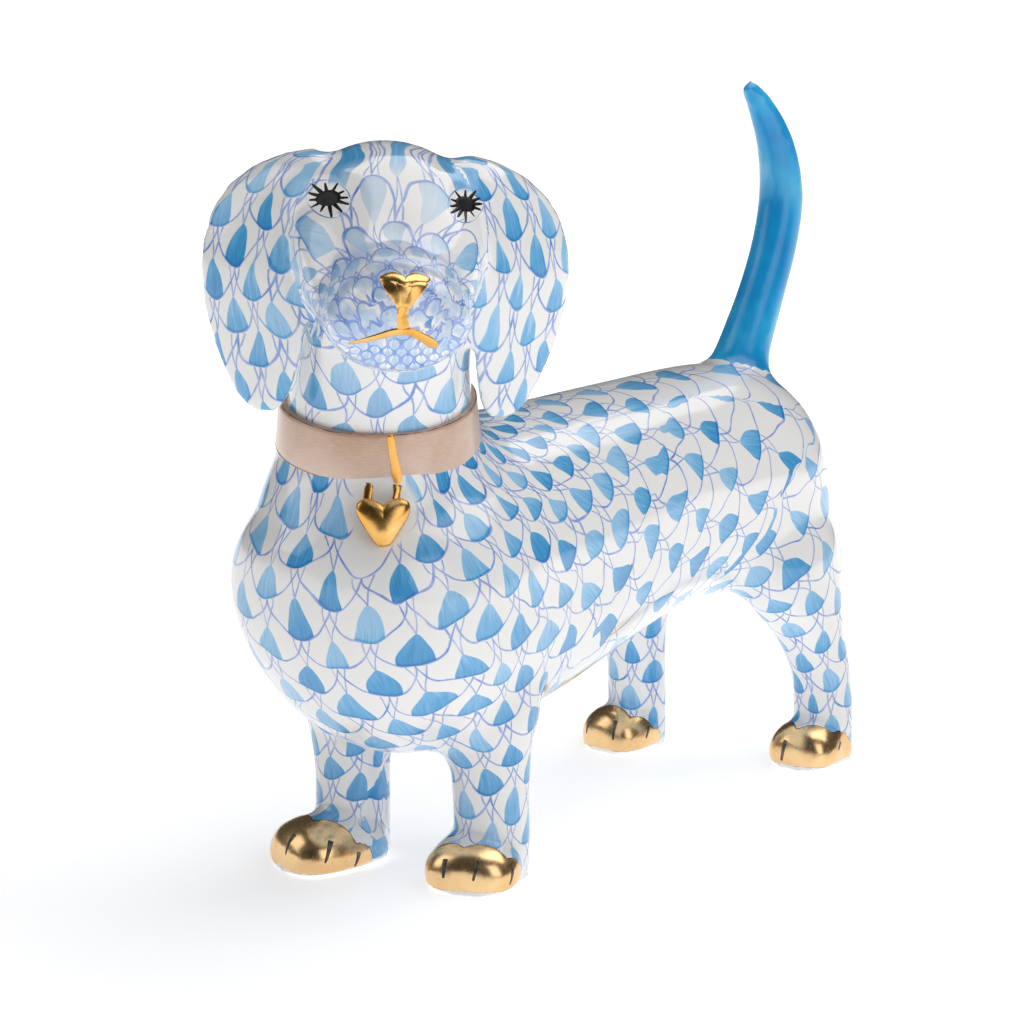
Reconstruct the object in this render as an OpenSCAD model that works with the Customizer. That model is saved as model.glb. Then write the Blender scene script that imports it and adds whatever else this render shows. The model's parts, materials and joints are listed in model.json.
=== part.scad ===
// Porcelain dachshund figurine, about 100 mm tall to the tip of its tail.
// The dog faces -Y, its own left side is +X, and its soles rest on z = 0.
// Every casting is a loft through a few hand-set sections. The castings meet in sockets and
// at one sloping plane under the collar, as slip-cast parts do when they are luted together.

/* [Body] */
// Half width of the chest at its widest
chest_half = 20.6; // [19:0.2:22]
// Half width of the waist
waist_half = 15.8; // [14:0.5:17]
// Half width of the rump
rump_half = 17; // [16:0.2:18]
// Height of the back above the ground
back_z = 60.2; // [58:0.2:62]
// Lowest point of the chest
chest_floor = 16.5; // [15:0.5:19]
// Wall of the hollow casting
wall = 4.5; // [3.5:0.5:5]
// Diameter of the firing vent under the belly
vent_d = 2.6; // [1.5:0.1:4]

/* [Head] */
// How far the head is turned to the dog's left, in degrees
head_turn = 47; // [40:1:52]
// How far the head leans to the dog's left, in degrees
head_roll = 3; // [0:1:6]
// Height of the middle of the skull
skull_z = 84.6; // [83:0.2:86]
// Scale of the ears against their drawn size
ear_scale = 1; // [0.9:0.02:1.05]

/* [Collar] */
// Radius of the collar band at half height
collar_r = 13; // [12.6:0.1:13.4]
// Height of the collar band
collar_h = 6.3; // [5:0.1:7]
// How far the collar slopes down towards the throat, in degrees
collar_tilt = 14; // [11:1:17]

/* [Tail] */
// Half thickness of the tail at its middle
tail_r = 3.35; // [2.8:0.05:3.8]

/* [Feet] */
// Half width of a paw
paw_half = 6.4; // [5.8:0.1:7]
// Height of a paw over the toes
paw_h = 6.8; // [6:0.1:7.6]
// Thickness of the gold and the enamel lines
skin_t = 0.2; // [0.15:0.01:0.3]

/* [Hidden] */

porcelain = "white";
cobalt = "steelblue";
gold = "goldenrod";
ink = "black";

// Offset that puts the middle of the whole figure, seen from above, on the origin
footprint_shift = [-3.69, 6.37, 0];
// Points round each kind of section
body_n = 36;
limb_n = 24;
// Interpolated sections per hand-set section
fine = 3;
// The paws are drawn this far below the ground and then cut flat at z = 0
sole_dip = 0.4;

// ---- lofting -----------------------------------------------------------------------------
function spline(a, b, c, d, t) =
    0.5 * (2 * b + (c - a) * t + (2 * a - 5 * b + 4 * c - d) * t * t
    + (3 * b - a - 3 * c + d) * t * t * t);
// Section at a fractional place t along a list of sections
function station(list, t) =
    let (last = len(list) - 1, i = min(floor(t), last - 1))
    spline(list[max(i - 1, 0)], list[i], list[i + 1], list[min(i + 2, last)], t - i);
function smooth(list, n) =
    [for (k = [0 : (len(list) - 1) * n]) station(list, k / n)];

// Points of an egg-shaped cross section: s = [y, half width, top, bottom, height of widest line]
function egg(s, a) =
    [s[1] * cos(a), s[0], s[4] + (sin(a) > 0 ? s[2] - s[4] : s[4] - s[3]) * sin(a)];
// Points of a flat-soled paw section: s = [y, half width, top, height of widest line]
function paw_point(s, a) =
    [s[1] * cos(a), s[0], sin(a) > 0 ? s[3] + (s[2] - s[3]) * sin(a)
    : s[3] - (s[3] + sole_dip) * pow(-sin(a), 0.5)];
// Points of an upright section: s = [z, x, y, half width, half length]
function upright(s, a) =
    [s[1] + s[3] * cos(a), s[2] + s[4] * sin(a), s[0]];

function outward(f, t, a) =
    let (e = 0.02, g = cross(f(t + e, a) - f(t - e, a), f(t, a + 1) - f(t, a - 1)))
    g / norm(g);

module loft(rings) {
    n = len(rings[0]);
    m = len(rings);
    faces = concat(
        [[for (i = [n - 1 : -1 : 0]) i]],
        [for (j = [0 : m - 2], i = [0 : n - 1]) each
            [[j * n + i, (j + 1) * n + (i + 1) % n, (j + 1) * n + i],
            [j * n + i, j * n + (i + 1) % n, (j + 1) * n + (i + 1) % n]]],
        [[for (i = [0 : n - 1]) (m - 1) * n + i]]);
    polyhedron([for (r = rings) each r], faces, convexity = 6);
}
function rings(f, t0, t1, n, sides) =
    [for (k = [0 : n]) [for (i = [0 : sides - 1]) f(t0 + (t1 - t0) * k / n, 360 * i / sides)]];

// A ribbon of width w that lies on the surface f along a path of [t, angle] places
module ribbon(f, path, w, thick, sink = 0.25) {
    m = len(path);
    at = [for (p = path) f(p[0], p[1])];
    up = [for (p = path) outward(f, p[0], p[1])];
    way = [for (k = [0 : m - 1]) at[min(k + 1, m - 1)] - at[max(k - 1, 0)]];
    side = [for (k = [0 : m - 1]) let (c = cross(way[k], up[k])) c / norm(c)];
    loft([for (k = [0 : m - 1]) let (s = side[k] * w / 2)
        [at[k] + s + up[k] * thick, at[k] - s + up[k] * thick,
        at[k] - s - up[k] * sink, at[k] + s - up[k] * sink]]);
}
// A thin shell over the part of a surface between t0, t1 and the angles a0, a1
module shell(f, t0, t1, a0, a1, nt, na, thick) {
    outer = [for (i = [0 : nt], j = [0 : na])
        let (t = t0 + (t1 - t0) * i / nt, a = a0 + (a1 - a0) * j / na)
        f(t, a) + outward(f, t, a) * thick];
    inner = [for (i = [0 : nt], j = [0 : na])
        f(t0 + (t1 - t0) * i / nt, a0 + (a1 - a0) * j / na)];
    w = na + 1;
    q = (nt + 1) * w;
    rim = concat([for (j = [0 : na]) j], [for (i = [1 : nt]) i * w + na],
        [for (j = [na - 1 : -1 : 0]) nt * w + j], [for (i = [nt - 1 : -1 : 1]) i * w]);
    faces = concat(
        [for (i = [0 : nt - 1], j = [0 : na - 1]) let (k = i * w + j) each
            [[k, k + w + 1, k + w], [k, k + 1, k + w + 1]]],
        [for (i = [0 : nt - 1], j = [0 : na - 1]) let (k = q + i * w + j) each
            [[k, k + w, k + w + 1], [k, k + w + 1, k + 1]]],
        [for (i = [0 : len(rim) - 1]) let (a = rim[i], b = rim[(i + 1) % len(rim)]) each
            [[a, q + b, b], [a, q + a, q + b]]]);
    polyhedron(concat(outer, inner), faces, convexity = 4);
}
// Draws its children as one closed skin
module one_skin() resize([0, 0, 0]) children();
module placed() translate(footprint_shift) children();

// ---- body --------------------------------------------------------------------------------
// [y, half width, top, bottom, height of widest line]
trunk_sections = [
    [-57.4, 2, 43, 38, 40.5],
    [-56.4, 7.5, 47.5, 33.5, 40.5],
    [-53.4, 14, 51.5, 27.5, 40.5],
    [-48, chest_half - 2.2, 55, 21, 40],
    [-41, chest_half - 0.2, 57.6, chest_floor + 0.6, 39.5],
    [-33, chest_half - 0.4, 59, chest_floor, 39.5],
    [-22, chest_half - 2.2, 59.6, chest_floor + 0.8, 40],
    [-10, waist_half + 1.6, back_z - 0.6, chest_floor + 3, 41],
    [2, waist_half + 0.8, back_z - 0.3, chest_floor + 6.2, 42.5],
    [14, waist_half, back_z, chest_floor + 9, 43.5],
    [25, waist_half + 0.2, back_z + 0.2, chest_floor + 10.2, 43],
    [34, rump_half - 1, back_z - 0.2, chest_floor + 11, 42.5],
    [41.5, rump_half - 2.4, back_z - 2.2, chest_floor + 12, 41.5],
    [47.5, rump_half - 5.8, back_z - 7, chest_floor + 14, 40.5],
    [51.6, rump_half - 10, back_z - 12.6, chest_floor + 17, 39.5],
    [53.6, 3.4, 43, 36, 39.5]];
trunk_form = function (t, a) egg(station(trunk_sections, t), a);
module trunk()
    loft(rings(trunk_form, 0, len(trunk_sections) - 1, (len(trunk_sections) - 1) * fine, body_n));

// The air inside: the same sections drawn in by the wall, with its floor above the legs
hollow_floor = 42;
hollow_n = 24;
module trunk_hollow() {
    s = [for (i = [3 : 12]) let (q = trunk_sections[i])
        [q[0], q[1] - wall - 0.5, q[2] - wall,
        max(q[3] + 2.2 * wall, hollow_floor - 24 / (1 + i)), q[4] + 3]];
    loft(smooth_eggs(s));
}
function smooth_eggs(s) =
    [for (q = smooth(s, 2)) [for (i = [0 : hollow_n - 1]) egg(q, 360 * i / hollow_n)]];

// ---- neck and collar -----------------------------------------------------------------------
collar_at = [0.4, -40.6, 61.6];
neck_turn = 43;
// Places its children in the collar's frame, +Z up the neck and -Y to the throat
module at_collar() translate(collar_at) rotate([0, 0, neck_turn]) rotate([collar_tilt, 0, 0])
    children();
// Ring of the neck: s = [x, y, z, half width, half depth, slope in degrees]
function neck_point(s, a) =
    let (u = s[3] * cos(a), v = s[4] * sin(a), t = s[5])
    [s[0] + u * cos(neck_turn) - v * cos(t) * sin(neck_turn),
    s[1] + u * sin(neck_turn) + v * cos(t) * cos(neck_turn),
    s[2] + v * sin(t)];
function neck_ring(s, n) = [for (i = [0 : n - 1]) neck_point(s, 360 * i / n)];
neck_r = collar_r - 0.6;
lower_neck = [
    [0.4, -40.6, 61.6, neck_r, neck_r, collar_tilt],
    [0.2, -40.4, 58.4, neck_r + 0.4, neck_r + 0.4, collar_tilt - 1],
    [0, -40, 54.5, neck_r + 2, neck_r + 1.6, collar_tilt - 5],
    [0, -39, 49, neck_r + 4.4, neck_r + 3.4, 3],
    [0, -37.5, 41, neck_r + 5, neck_r + 3.6, 0]];
upper_neck = [
    [5.2, -43.6, 88, 6, 7, 0],
    [5, -43.4, 82, 10, 11.4, 1],
    [4.4, -42.8, 75.5, 10.9, 12.2, 4],
    [2.4, -41.8, 69.4, 11.3, 11.9, 9],
    [1, -41, 64.6, neck_r - 0.5, neck_r - 0.4, collar_tilt - 1],
    [0.4, -40.6, 61.6, neck_r, neck_r, collar_tilt]];
module neck(list) loft([for (s = smooth(list, fine)) neck_ring(s, body_n)]);

// ---- limbs ---------------------------------------------------------------------------------
// Each limb: place of the paw, way it points in degrees, its scale, and the column as sections
// [z, x, y, half width, half length] in the dog's own frame, listed from the top down
front_left = [[10.8, -33], 26, 1, [
    [31, 9.2, -30.8, 3.5, 4],
    [27, 10.2, -31, 6.4, 7],
    [23, 11, -31.2, 6.6, 7.2],
    [18, 11.2, -31.2, 5.5, 5.8],
    [12, 11.2, -31, 5.1, 5.2],
    [6, 11.2, -30.8, 5, 5.2],
    [0, 11.2, -30.8, 4.8, 5]]];
front_right = [[-8.8, -40.2], -16, 1, [
    [31, -9.8, -34, 3.5, 4],
    [27, -10.4, -34.2, 6.4, 7],
    [23, -10.8, -34.4, 6.6, 7.4],
    [18, -10.2, -35, 5.5, 6],
    [12, -9.4, -35.6, 5, 5.2],
    [6, -9.2, -35.8, 5, 5.2],
    [0, -9.2, -35.8, 4.8, 5]]];
rear_left = [[12.6, 42], 8, 0.83, [
    [41, 8, 36, 4.4, 7.4],
    [37, 10, 35.4, 6.4, 10.6],
    [32, 11.4, 35.2, 6.8, 11.6],
    [26, 12.4, 36.8, 6, 8.8],
    [20, 12.8, 40.2, 4.9, 5.8],
    [14, 13, 43, 4.4, 4.7],
    [8, 13, 44, 4.4, 4.5],
    [0, 13, 44, 4.4, 4.6]]];
rear_right = [[-14, 31], -4, 0.83, [
    [41, -8, 33, 4.4, 7.4],
    [37, -10, 32.4, 6.4, 10.4],
    [32, -11.4, 31.6, 6.8, 11],
    [26, -12.6, 31.2, 6, 8.4],
    [20, -13.4, 31.6, 4.9, 5.6],
    [14, -13.8, 32.6, 4.4, 4.7],
    [8, -14, 33.2, 4.4, 4.5],
    [0, -14, 33.2, 4.4, 4.6]]];

// [y, half width, top, height of widest line], from the toes back to the heel
paw_sections = [
    [-8, 2, 3.4, 1.8],
    [-7.4, 4.2, 4.7, 1.9],
    [-5.8, 5.8 / 6.4 * paw_half, 6.1 / 6.8 * paw_h, 2],
    [-3, paw_half, paw_h, 2.1],
    [0.4, 6 / 6.4 * paw_half, paw_h + 0.4, 2.2],
    [3.8, 5.2, 7.4, 2.3],
    [6.2, 4, 6.4, 2.2],
    [7.4, 1.8, 4.4, 2]];
paw_form = function (t, a) paw_point(station(paw_sections, t), a);

module at_paw(limb) translate([limb[0][0], limb[0][1], 0]) rotate([0, 0, limb[1]])
    scale([limb[2], limb[2], 1]) children();
module column(limb)
    loft([for (s = smooth(limb[3], fine)) [for (i = [0 : limb_n - 1]) upright(s, 360 * i / limb_n)]]);
// Side of the block that cuts the soles flat
ground = 130;
module limb_casting(limb) difference() {
    one_skin() {
        column(limb);
        at_paw(limb) loft(rings(paw_form, 0, len(paw_sections) - 1, 14, limb_n));
    }
    translate([-ground / 2, -ground / 2, -5]) cube([ground, ground, 5]);
}
module gilding(limb) at_paw(limb) shell(paw_form, 0.25, 3.3, 6, 174, 7, 12, skin_t);
// Strokes between the toes at three places across the paw
module toe_lines(limb)
    at_paw(limb) for (a = [50, 90, 130])
        ribbon(paw_form, [for (k = [0 : 4]) [0.7 + 0.34 * k, a + (90 - a) * k * 0.03]],
            0.55, skin_t + 0.12, 0.1);

// ---- tail ----------------------------------------------------------------------------------
// [y, z, half thickness]
tail_path = [
    [37, 53, 3.6],
    [38.4, 57, 4.6],
    [40.6, 62, 3.9],
    [44.4, 69, tail_r + 0.1],
    [47.8, 76.5, tail_r],
    [49.3, 84, tail_r - 0.1],
    [47.4, 91.6, tail_r - 0.7],
    [43.2, 97.6, tail_r - 1.6],
    [40.2, 100.2, 1]];
module tail_form() {
    p = smooth(tail_path, fine);
    last = len(p) - 1;
    loft([for (k = [0 : last])
        let (d = p[min(k + 1, last)] - p[max(k - 1, 0)],
            g = [d[0], d[1]] / norm([d[0], d[1]]), r = p[k][2])
        [for (i = [0 : limb_n - 1]) let (a = 360 * i / limb_n)
            [r * cos(a), p[k][0] - g[1] * r * sin(a), p[k][1] + g[0] * r * sin(a)]]]);
}

// ---- head ----------------------------------------------------------------------------------
head_at = [6.1, -44.9, skull_z];
module at_head() translate(head_at) rotate([0, 0, head_turn]) rotate([0, head_roll, 0]) children();
// [y, half width, top, bottom, height of widest line], from the nose back
head_sections = [
    [-25.8, 1, -4.2, -6.2, -5.2],
    [-25.2, 4.2, -2.2, -8.8, -5.6],
    [-24, 6.6, -0.8, -10.8, -5.8],
    [-21.6, 8.2, 0.2, -12.4, -6.2],
    [-17, 8.9, 1.2, -13.4, -6.4],
    [-12.5, 9.5, 3.2, -13.6, -5.2],
    [-8, 11, 7.4, -13.2, -1],
    [-3, 12.4, 11.2, -12.6, 0.6],
    [3, 12.9, 12.9, -12, 1],
    [8, 11.8, 12, -10.5, 1],
    [12, 8.6, 8.6, -7, 0.6],
    [14, 3.4, 3.6, -2.4, 0.4]];
head_form = function (t, a) egg(station(head_sections, t), a);
module skull() loft(rings(head_form, 0, len(head_sections) - 1, 34, body_n));
// The air in the head and the upper neck, with a wall a little thicker than the trunk's
head_wall = wall + 1;
module head_hollow() {
    at_head() loft([for (k = [0 : 8]) let (s = station(head_sections, 6 + k / 2))
        [for (i = [0 : hollow_n - 1]) let (a = 360 * i / hollow_n)
            [(s[1] - head_wall) * cos(a), s[0], 1 + (s[2] - head_wall) * 0.8 * sin(a)]]]);
    loft([for (k = [0 : 5]) let (s = station(upper_neck, 0.75 + 0.85 * k), dip = k == 5 ? 1 : 0)
        neck_ring([s[0], s[1], s[2] - dip, s[3] - head_wall, s[4] - head_wall, s[5]], hollow_n)]);
}

// Ear sections: [x, y, z, width, thickness, slope], hung from the side of the skull
ear_sections = [
    [5.6, 3.2, 8.2, 8, 3.4, 80],
    [9.6, 3, 9.8, 11, 3.8, 70],
    [13.6, 2.2, 8.4, 14, 3.4, 44],
    [16.2, 1.2, 3.6, 16, 3.1, 16],
    [17.2, 0.6, -3, 16.4, 3, 2],
    [17, 0.4, -9.4, 15, 2.9, -4],
    [16.4, 0.4, -15.2, 11.6, 2.7, -8],
    [15.8, 0.4, -19.4, 7.6, 2.3, -10],
    [15.5, 0.4, -21.2, 3.6, 1.4, -10]];
// Angle the flat of the ear makes with the dog's side, and points round an ear
ear_face = 56;
ear_n = 22;
function ear_ring(s, n) = [for (i = [0 : n - 1])
    let (a = -360 * i / n, u = s[3] / 2 * cos(a), v = s[4] / 2 * sin(a))
    [s[0] + u * sin(ear_face) * cos(s[5]) + v * cos(ear_face) * cos(s[5]),
    s[1] + u * cos(ear_face) - v * sin(ear_face) * cos(s[5]),
    s[2] + v * sin(s[5])]];
// The right ear hangs a little closer to the cheek than the left one
right_hang = 0.94;
module ear_form(hang) scale(ear_scale)
    loft([for (s = smooth(ear_sections, 2))
        ear_ring([s[0] * hang, s[1], s[2], s[3], s[4], s[5]], ear_n)]);

// The air in the neck below the collar: [x, y, z, how much wider than under the collar]
throat_sections = [[0.4, -40.6, 60.5, 0], [0.2, -40.2, 55, 2], [0, -39, 48, 4], [0, -37, 43, 3]];
throat_slope = 10;
module throat_hollow() loft([for (s = throat_sections) let (r = neck_r - wall + s[3])
    neck_ring([s[0], s[1], s[2], r, r, throat_slope], hollow_n)]);
vent_at = [0, 10, 20];

// ---- castings ------------------------------------------------------------------------------
module torso() color(porcelain) placed() difference() {
    one_skin() difference() {
        union() { trunk(); neck(lower_neck); }
        trunk_hollow();
        throat_hollow();
    }
    translate(vent_at) cylinder(d = vent_d, h = hollow_floor - vent_at[2] + 2, $fn = 32);
}
module head() color(porcelain) placed() one_skin() difference() {
    union() { at_head() skull(); neck(upper_neck); }
    head_hollow();
}
// The ears are luted on to the skin of the skull
module ear(side, hang) color(porcelain) placed() at_head() difference() {
    mirror([side < 0 ? 1 : 0, 0, 0]) ear_form(hang);
    skull();
}
module left_ear() ear(1, 1);
module right_ear() ear(-1, right_hang);
module tail() color(cobalt) placed() tail_form();
module front_left_leg() color(porcelain) placed() limb_casting(front_left);
module front_right_leg() color(porcelain) placed() limb_casting(front_right);
module rear_left_leg() color(porcelain) placed() limb_casting(rear_left);
module rear_right_leg() color(porcelain) placed() limb_casting(rear_right);

// ---- decoration ----------------------------------------------------------------------------
module front_left_paw_gilding() color(gold) placed() gilding(front_left);
module front_right_paw_gilding() color(gold) placed() gilding(front_right);
module rear_left_paw_gilding() color(gold) placed() gilding(rear_left);
module rear_right_paw_gilding() color(gold) placed() gilding(rear_right);
module front_left_toe_lines() color(ink) placed() toe_lines(front_left);
module front_right_toe_lines() color(ink) placed() toe_lines(front_right);
module rear_left_toe_lines() color(ink) placed() toe_lines(rear_left);
module rear_right_toe_lines() color(ink) placed() toe_lines(rear_right);

// The raised band, a little wider at its lower edge
flare = 0.35;
band_t = 0.8;
module collar() color("tan") placed() at_collar() rotate_extrude($fn = 64) polygon([
    [collar_r - flare, collar_h / 2], [collar_r - flare - band_t, collar_h / 2],
    [collar_r + flare - band_t, -collar_h / 2], [collar_r + flare, -collar_h / 2]]);
edge_r = 0.22;
module collar_edge_lines() color("saddlebrown") placed() at_collar()
    for (s = [-1, 1]) translate([0, 0, s * (collar_h / 2 + edge_r / 2)])
        rotate_extrude($fn = 64) translate([collar_r - s * flare - 0.2, 0]) circle(edge_r, $fn = 8);

// Width and thickness of the heart
heart_w = 6.8;
heart_t = 1.1;
module heart_outline() {
    lobe = heart_w * 0.29;
    for (s = [-1, 1]) translate([s * (heart_w / 2 - lobe), 0]) circle(lobe, $fn = 32);
    polygon([[-heart_w * 0.46, -lobe * 0.5], [0, -heart_w * 0.72], [heart_w * 0.46, -lobe * 0.5],
        [0, lobe * 0.35]]);
}
// The heart hangs against the chest, its point a little further out than its lobes
tag_out = 15.5;
tag_z = 53.6;
tag_lean = 14;
module at_tag() translate([collar_at[0], collar_at[1], tag_z]) rotate([0, 0, neck_turn])
    translate([0.4, -tag_out, 0]) rotate([90 - tag_lean, 0, 0]) children();
module heart_tag() color(gold) placed() at_tag() linear_extrude(heart_t) heart_outline();
// Two strips of gold: a long one over the band and a short one under its edge
strap_drop = 2.6;
module tag_loops() color(gold) placed() at_collar() {
    translate([1.2, -collar_r - 0.75, -collar_h / 2 - strap_drop])
        cube([0.8, 0.7, collar_h + strap_drop]);
    translate([-1.8, -collar_r - 1, -collar_h / 2 - strap_drop]) cube([1, 1, strap_drop - 0.1]);
}
module nose_gilding() color(gold) placed() at_head()
    shell(head_form, 0.5, 1.7, 58, 122, 5, 8, skin_t + 0.3);
module mouth_gilding() color(gold) placed() at_head() one_skin() {
    ribbon(head_form, [for (k = [0 : 5]) [0.1 + 0.16 * k, 270]], 1.2, skin_t);
    ribbon(head_form, [for (k = [0 : 12]) let (u = (k - 6) / 6) [0.85 + 1.5 * u * u, 270 + 50 * u]],
        1, skin_t + 0.03);
}
// Place of an eye along and round the head, and the disc that carries its enamel
eye_place = [6.2, 43];
eye_d = 4.6;
eye_proud = 0.25;
module eye() {
    at = head_form(eye_place[0], eye_place[1]);
    up = outward(head_form, eye_place[0], eye_place[1]);
    translate(at + up * eye_proud) rotate([0, acos(up[2]), atan2(up[1], up[0])])
        translate([0, 0, -1]) cylinder(d = eye_d, h = 1.2, $fn = 32);
}
module left_eye() color(ink) placed() at_head() eye();
module right_eye() color(ink) placed() at_head() mirror([1, 0, 0]) eye();

torso();
head();
left_ear();
right_ear();
tail();
front_left_leg();
front_right_leg();
rear_left_leg();
rear_right_leg();
front_left_paw_gilding();
front_right_paw_gilding();
rear_left_paw_gilding();
rear_right_paw_gilding();
front_left_toe_lines();
front_right_toe_lines();
rear_left_toe_lines();
rear_right_toe_lines();
collar();
collar_edge_lines();
heart_tag();
tag_loops();
nose_gilding();
mouth_gilding();
left_eye();
right_eye();
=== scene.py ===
import json
import math
import bpy
import numpy as np
from mathutils import Matrix, Vector
from mathutils.bvhtree import BVHTree

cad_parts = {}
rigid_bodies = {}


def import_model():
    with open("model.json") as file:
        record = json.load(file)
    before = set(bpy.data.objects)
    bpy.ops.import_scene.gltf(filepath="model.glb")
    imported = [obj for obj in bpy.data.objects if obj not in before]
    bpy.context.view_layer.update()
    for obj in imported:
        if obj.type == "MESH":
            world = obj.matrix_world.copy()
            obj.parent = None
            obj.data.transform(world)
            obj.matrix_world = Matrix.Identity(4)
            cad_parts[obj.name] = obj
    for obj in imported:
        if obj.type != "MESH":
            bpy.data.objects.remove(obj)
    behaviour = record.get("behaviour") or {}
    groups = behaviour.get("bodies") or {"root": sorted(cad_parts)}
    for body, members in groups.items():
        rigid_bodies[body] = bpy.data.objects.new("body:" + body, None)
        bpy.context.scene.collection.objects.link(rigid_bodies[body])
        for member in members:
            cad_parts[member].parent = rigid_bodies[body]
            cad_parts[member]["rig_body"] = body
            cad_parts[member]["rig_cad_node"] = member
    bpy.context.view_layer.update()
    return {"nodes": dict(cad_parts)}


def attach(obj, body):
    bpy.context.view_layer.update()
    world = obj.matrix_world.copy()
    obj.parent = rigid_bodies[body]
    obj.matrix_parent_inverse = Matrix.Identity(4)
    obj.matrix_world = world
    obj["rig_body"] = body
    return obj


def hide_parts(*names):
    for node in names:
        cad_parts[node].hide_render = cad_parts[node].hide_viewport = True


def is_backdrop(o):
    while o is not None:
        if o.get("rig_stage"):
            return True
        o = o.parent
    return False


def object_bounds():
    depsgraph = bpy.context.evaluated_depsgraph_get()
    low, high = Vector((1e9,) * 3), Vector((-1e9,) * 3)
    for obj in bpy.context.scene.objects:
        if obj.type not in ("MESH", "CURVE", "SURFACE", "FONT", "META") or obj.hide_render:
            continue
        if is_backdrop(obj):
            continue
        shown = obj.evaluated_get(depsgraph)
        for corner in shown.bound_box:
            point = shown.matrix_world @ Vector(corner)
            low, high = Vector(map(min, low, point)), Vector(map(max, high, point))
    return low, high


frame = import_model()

# ---- table, lamps and camera ------------------------------------------------------------
# The figure stands on a plain white table in soft daylight from two broad lamps and a
# white ceiling. The camera looks down a little at the dog's left front.
TABLE_GLOW_FROM, TABLE_GLOW_TO = 0.08, 0.4          # metres from the dog: the table's own painted glow rises from half to full
bpy.context.scene.view_settings.view_transform = "Standard"
bpy.ops.object.select_all(action="DESELECT")
bpy.ops.mesh.primitive_plane_add(size=14)
table = bpy.context.object
table.name = "table"
paint = bpy.data.materials.new("table_white")
paint.use_nodes = True
shader = paint.node_tree.nodes["Principled BSDF"]
shader.inputs["Base Color"].default_value = (0.9, 0.9, 0.905, 1)
shader.inputs["Roughness"].default_value = 0.55
shader.inputs["Emission Color"].default_value = (1, 1, 1, 1)
# the table glows with its own light, a painted light that also lights the dog from below: at half
# strength near the dog and fully away from it, where it runs out into the bright sweep of the backdrop
nodes, wire = paint.node_tree.nodes, paint.node_tree.links
spot = nodes.new("ShaderNodeTexCoord")
reach = nodes.new("ShaderNodeVectorMath")
reach.operation = "LENGTH"
wire.new(spot.outputs["Object"], reach.inputs[0])
glow = nodes.new("ShaderNodeMapRange")
for socket, value in (
        ("From Min", TABLE_GLOW_FROM), ("From Max", TABLE_GLOW_TO), ("To Min", 0.5), ("To Max", 1.0)):
    glow.inputs[socket].default_value = value
wire.new(reach.outputs["Value"], glow.inputs[0])
wire.new(glow.outputs[0], shader.inputs["Emission Strength"])
table.data.materials.append(paint)
table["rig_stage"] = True

world = bpy.data.worlds.new("studio")
bpy.context.scene.world = world
world.use_nodes = True
# the room is white above and behind the dog and dim on the side it is looked at from
sky = world.node_tree.nodes.new("ShaderNodeTexCoord")
face_on = world.node_tree.nodes.new("ShaderNodeVectorMath")
face_on.operation = "DOT_PRODUCT"
face_on.inputs[1].default_value = (0.62, -0.74, 0.1)
room = world.node_tree.links
room.new(sky.outputs["Generated"], face_on.inputs[0])
dim = world.node_tree.nodes.new("ShaderNodeMapRange")
for socket, value in (
        ("From Min", 0.35), ("From Max", 0.97), ("To Min", 1.4), ("To Max", 0.36)):
    dim.inputs[socket].default_value = value
room.new(face_on.outputs["Value"], dim.inputs[0])
room.new(dim.outputs[0], world.node_tree.nodes["Background"].inputs["Strength"])


def lamp(name, place, target, size, watts):
    bpy.ops.object.light_add(type="AREA", location=place)
    made = bpy.context.object
    made.name = name
    made.data.shape = "RECTANGLE"
    made.data.size, made.data.size_y = size
    made.data.energy = watts
    aim = Vector(target) - Vector(place)
    made.rotation_euler = aim.to_track_quat("-Z", "Y").to_euler()


MID_DOG = (0, 0, 0.045)
lamp("window_lamp", (-0.42, -0.42, 0.42), MID_DOG, (0.34, 0.5), 0.7)
lamp("fill_lamp", (0.62, -0.2, 0.3), MID_DOG, (0.4, 0.5), 0.9)
lamp("top_lamp", (0.1, 0.25, 0.7), MID_DOG, (0.8, 0.8), 3.9)

azimuth, pitch = math.radians(40), math.radians(11.5)
look = Vector((-math.sin(azimuth) * math.cos(pitch), math.cos(azimuth) * math.cos(pitch),
    -math.sin(pitch)))
bpy.ops.object.camera_add(location=(0.2588, -0.31975, 0.12804))
camera = bpy.context.object
camera.rotation_euler = look.to_track_quat("-Z", "Y").to_euler()
camera.data.lens = 107.2
camera.data.sensor_width = 36
camera.data.clip_start = 0.01
bpy.context.scene.camera = camera

# ---- luted clay: torso, head, ears, tail and legs ---------------------------------------
# The nine slip castings are luted together with slip and sponged smooth while the clay is
# soft, so their outside is one surface. It is remeshed from the castings, the joins are
# filled and rubbed down, and the small forms of the face are pressed in.
CASTINGS = ["torso", "head", "left_ear", "right_ear", "tail", "front_left_leg",
    "front_right_leg", "rear_left_leg", "rear_right_leg"]
TORSO, SKULL, LEFT_EAR, RIGHT_EAR, TAIL = range(5)
LEGS = range(5, 9)
MM = 0.001                                 # sizes below are in millimetres
CELL = 0.6 * MM                            # fineness of the skin
VENT, VENT_PLUG, VENT_DEPTH = (-3.69, 16.4, 36), 2, 18


def alone(piece):
    bpy.ops.object.select_all(action="DESELECT")
    piece.select_set(True)
    bpy.context.view_layer.objects.active = piece


def points_of(mesh):
    co = np.empty(len(mesh.vertices) * 3)
    mesh.vertices.foreach_get("co", co)
    return co.reshape(-1, 3) / MM


bpy.ops.object.select_all(action="DESELECT")
copies, corners, faces, owner = [], [], [], []
for k, name in enumerate(CASTINGS):
    copy = frame["nodes"][name].copy()
    copy.data = copy.data.copy()
    copy.parent = None
    del copy["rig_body"], copy["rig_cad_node"]
    bpy.context.scene.collection.objects.link(copy)
    copies.append(copy)
    start = len(corners)
    corners += [copy.matrix_world @ v.co for v in copy.data.vertices]
    faces += [[start + i for i in f.vertices] for f in copy.data.polygons]
    owner += [k] * len(copy.data.polygons)
casting_tree = BVHTree.FromPolygons(corners, faces)
owner = np.array(owner)
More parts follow.
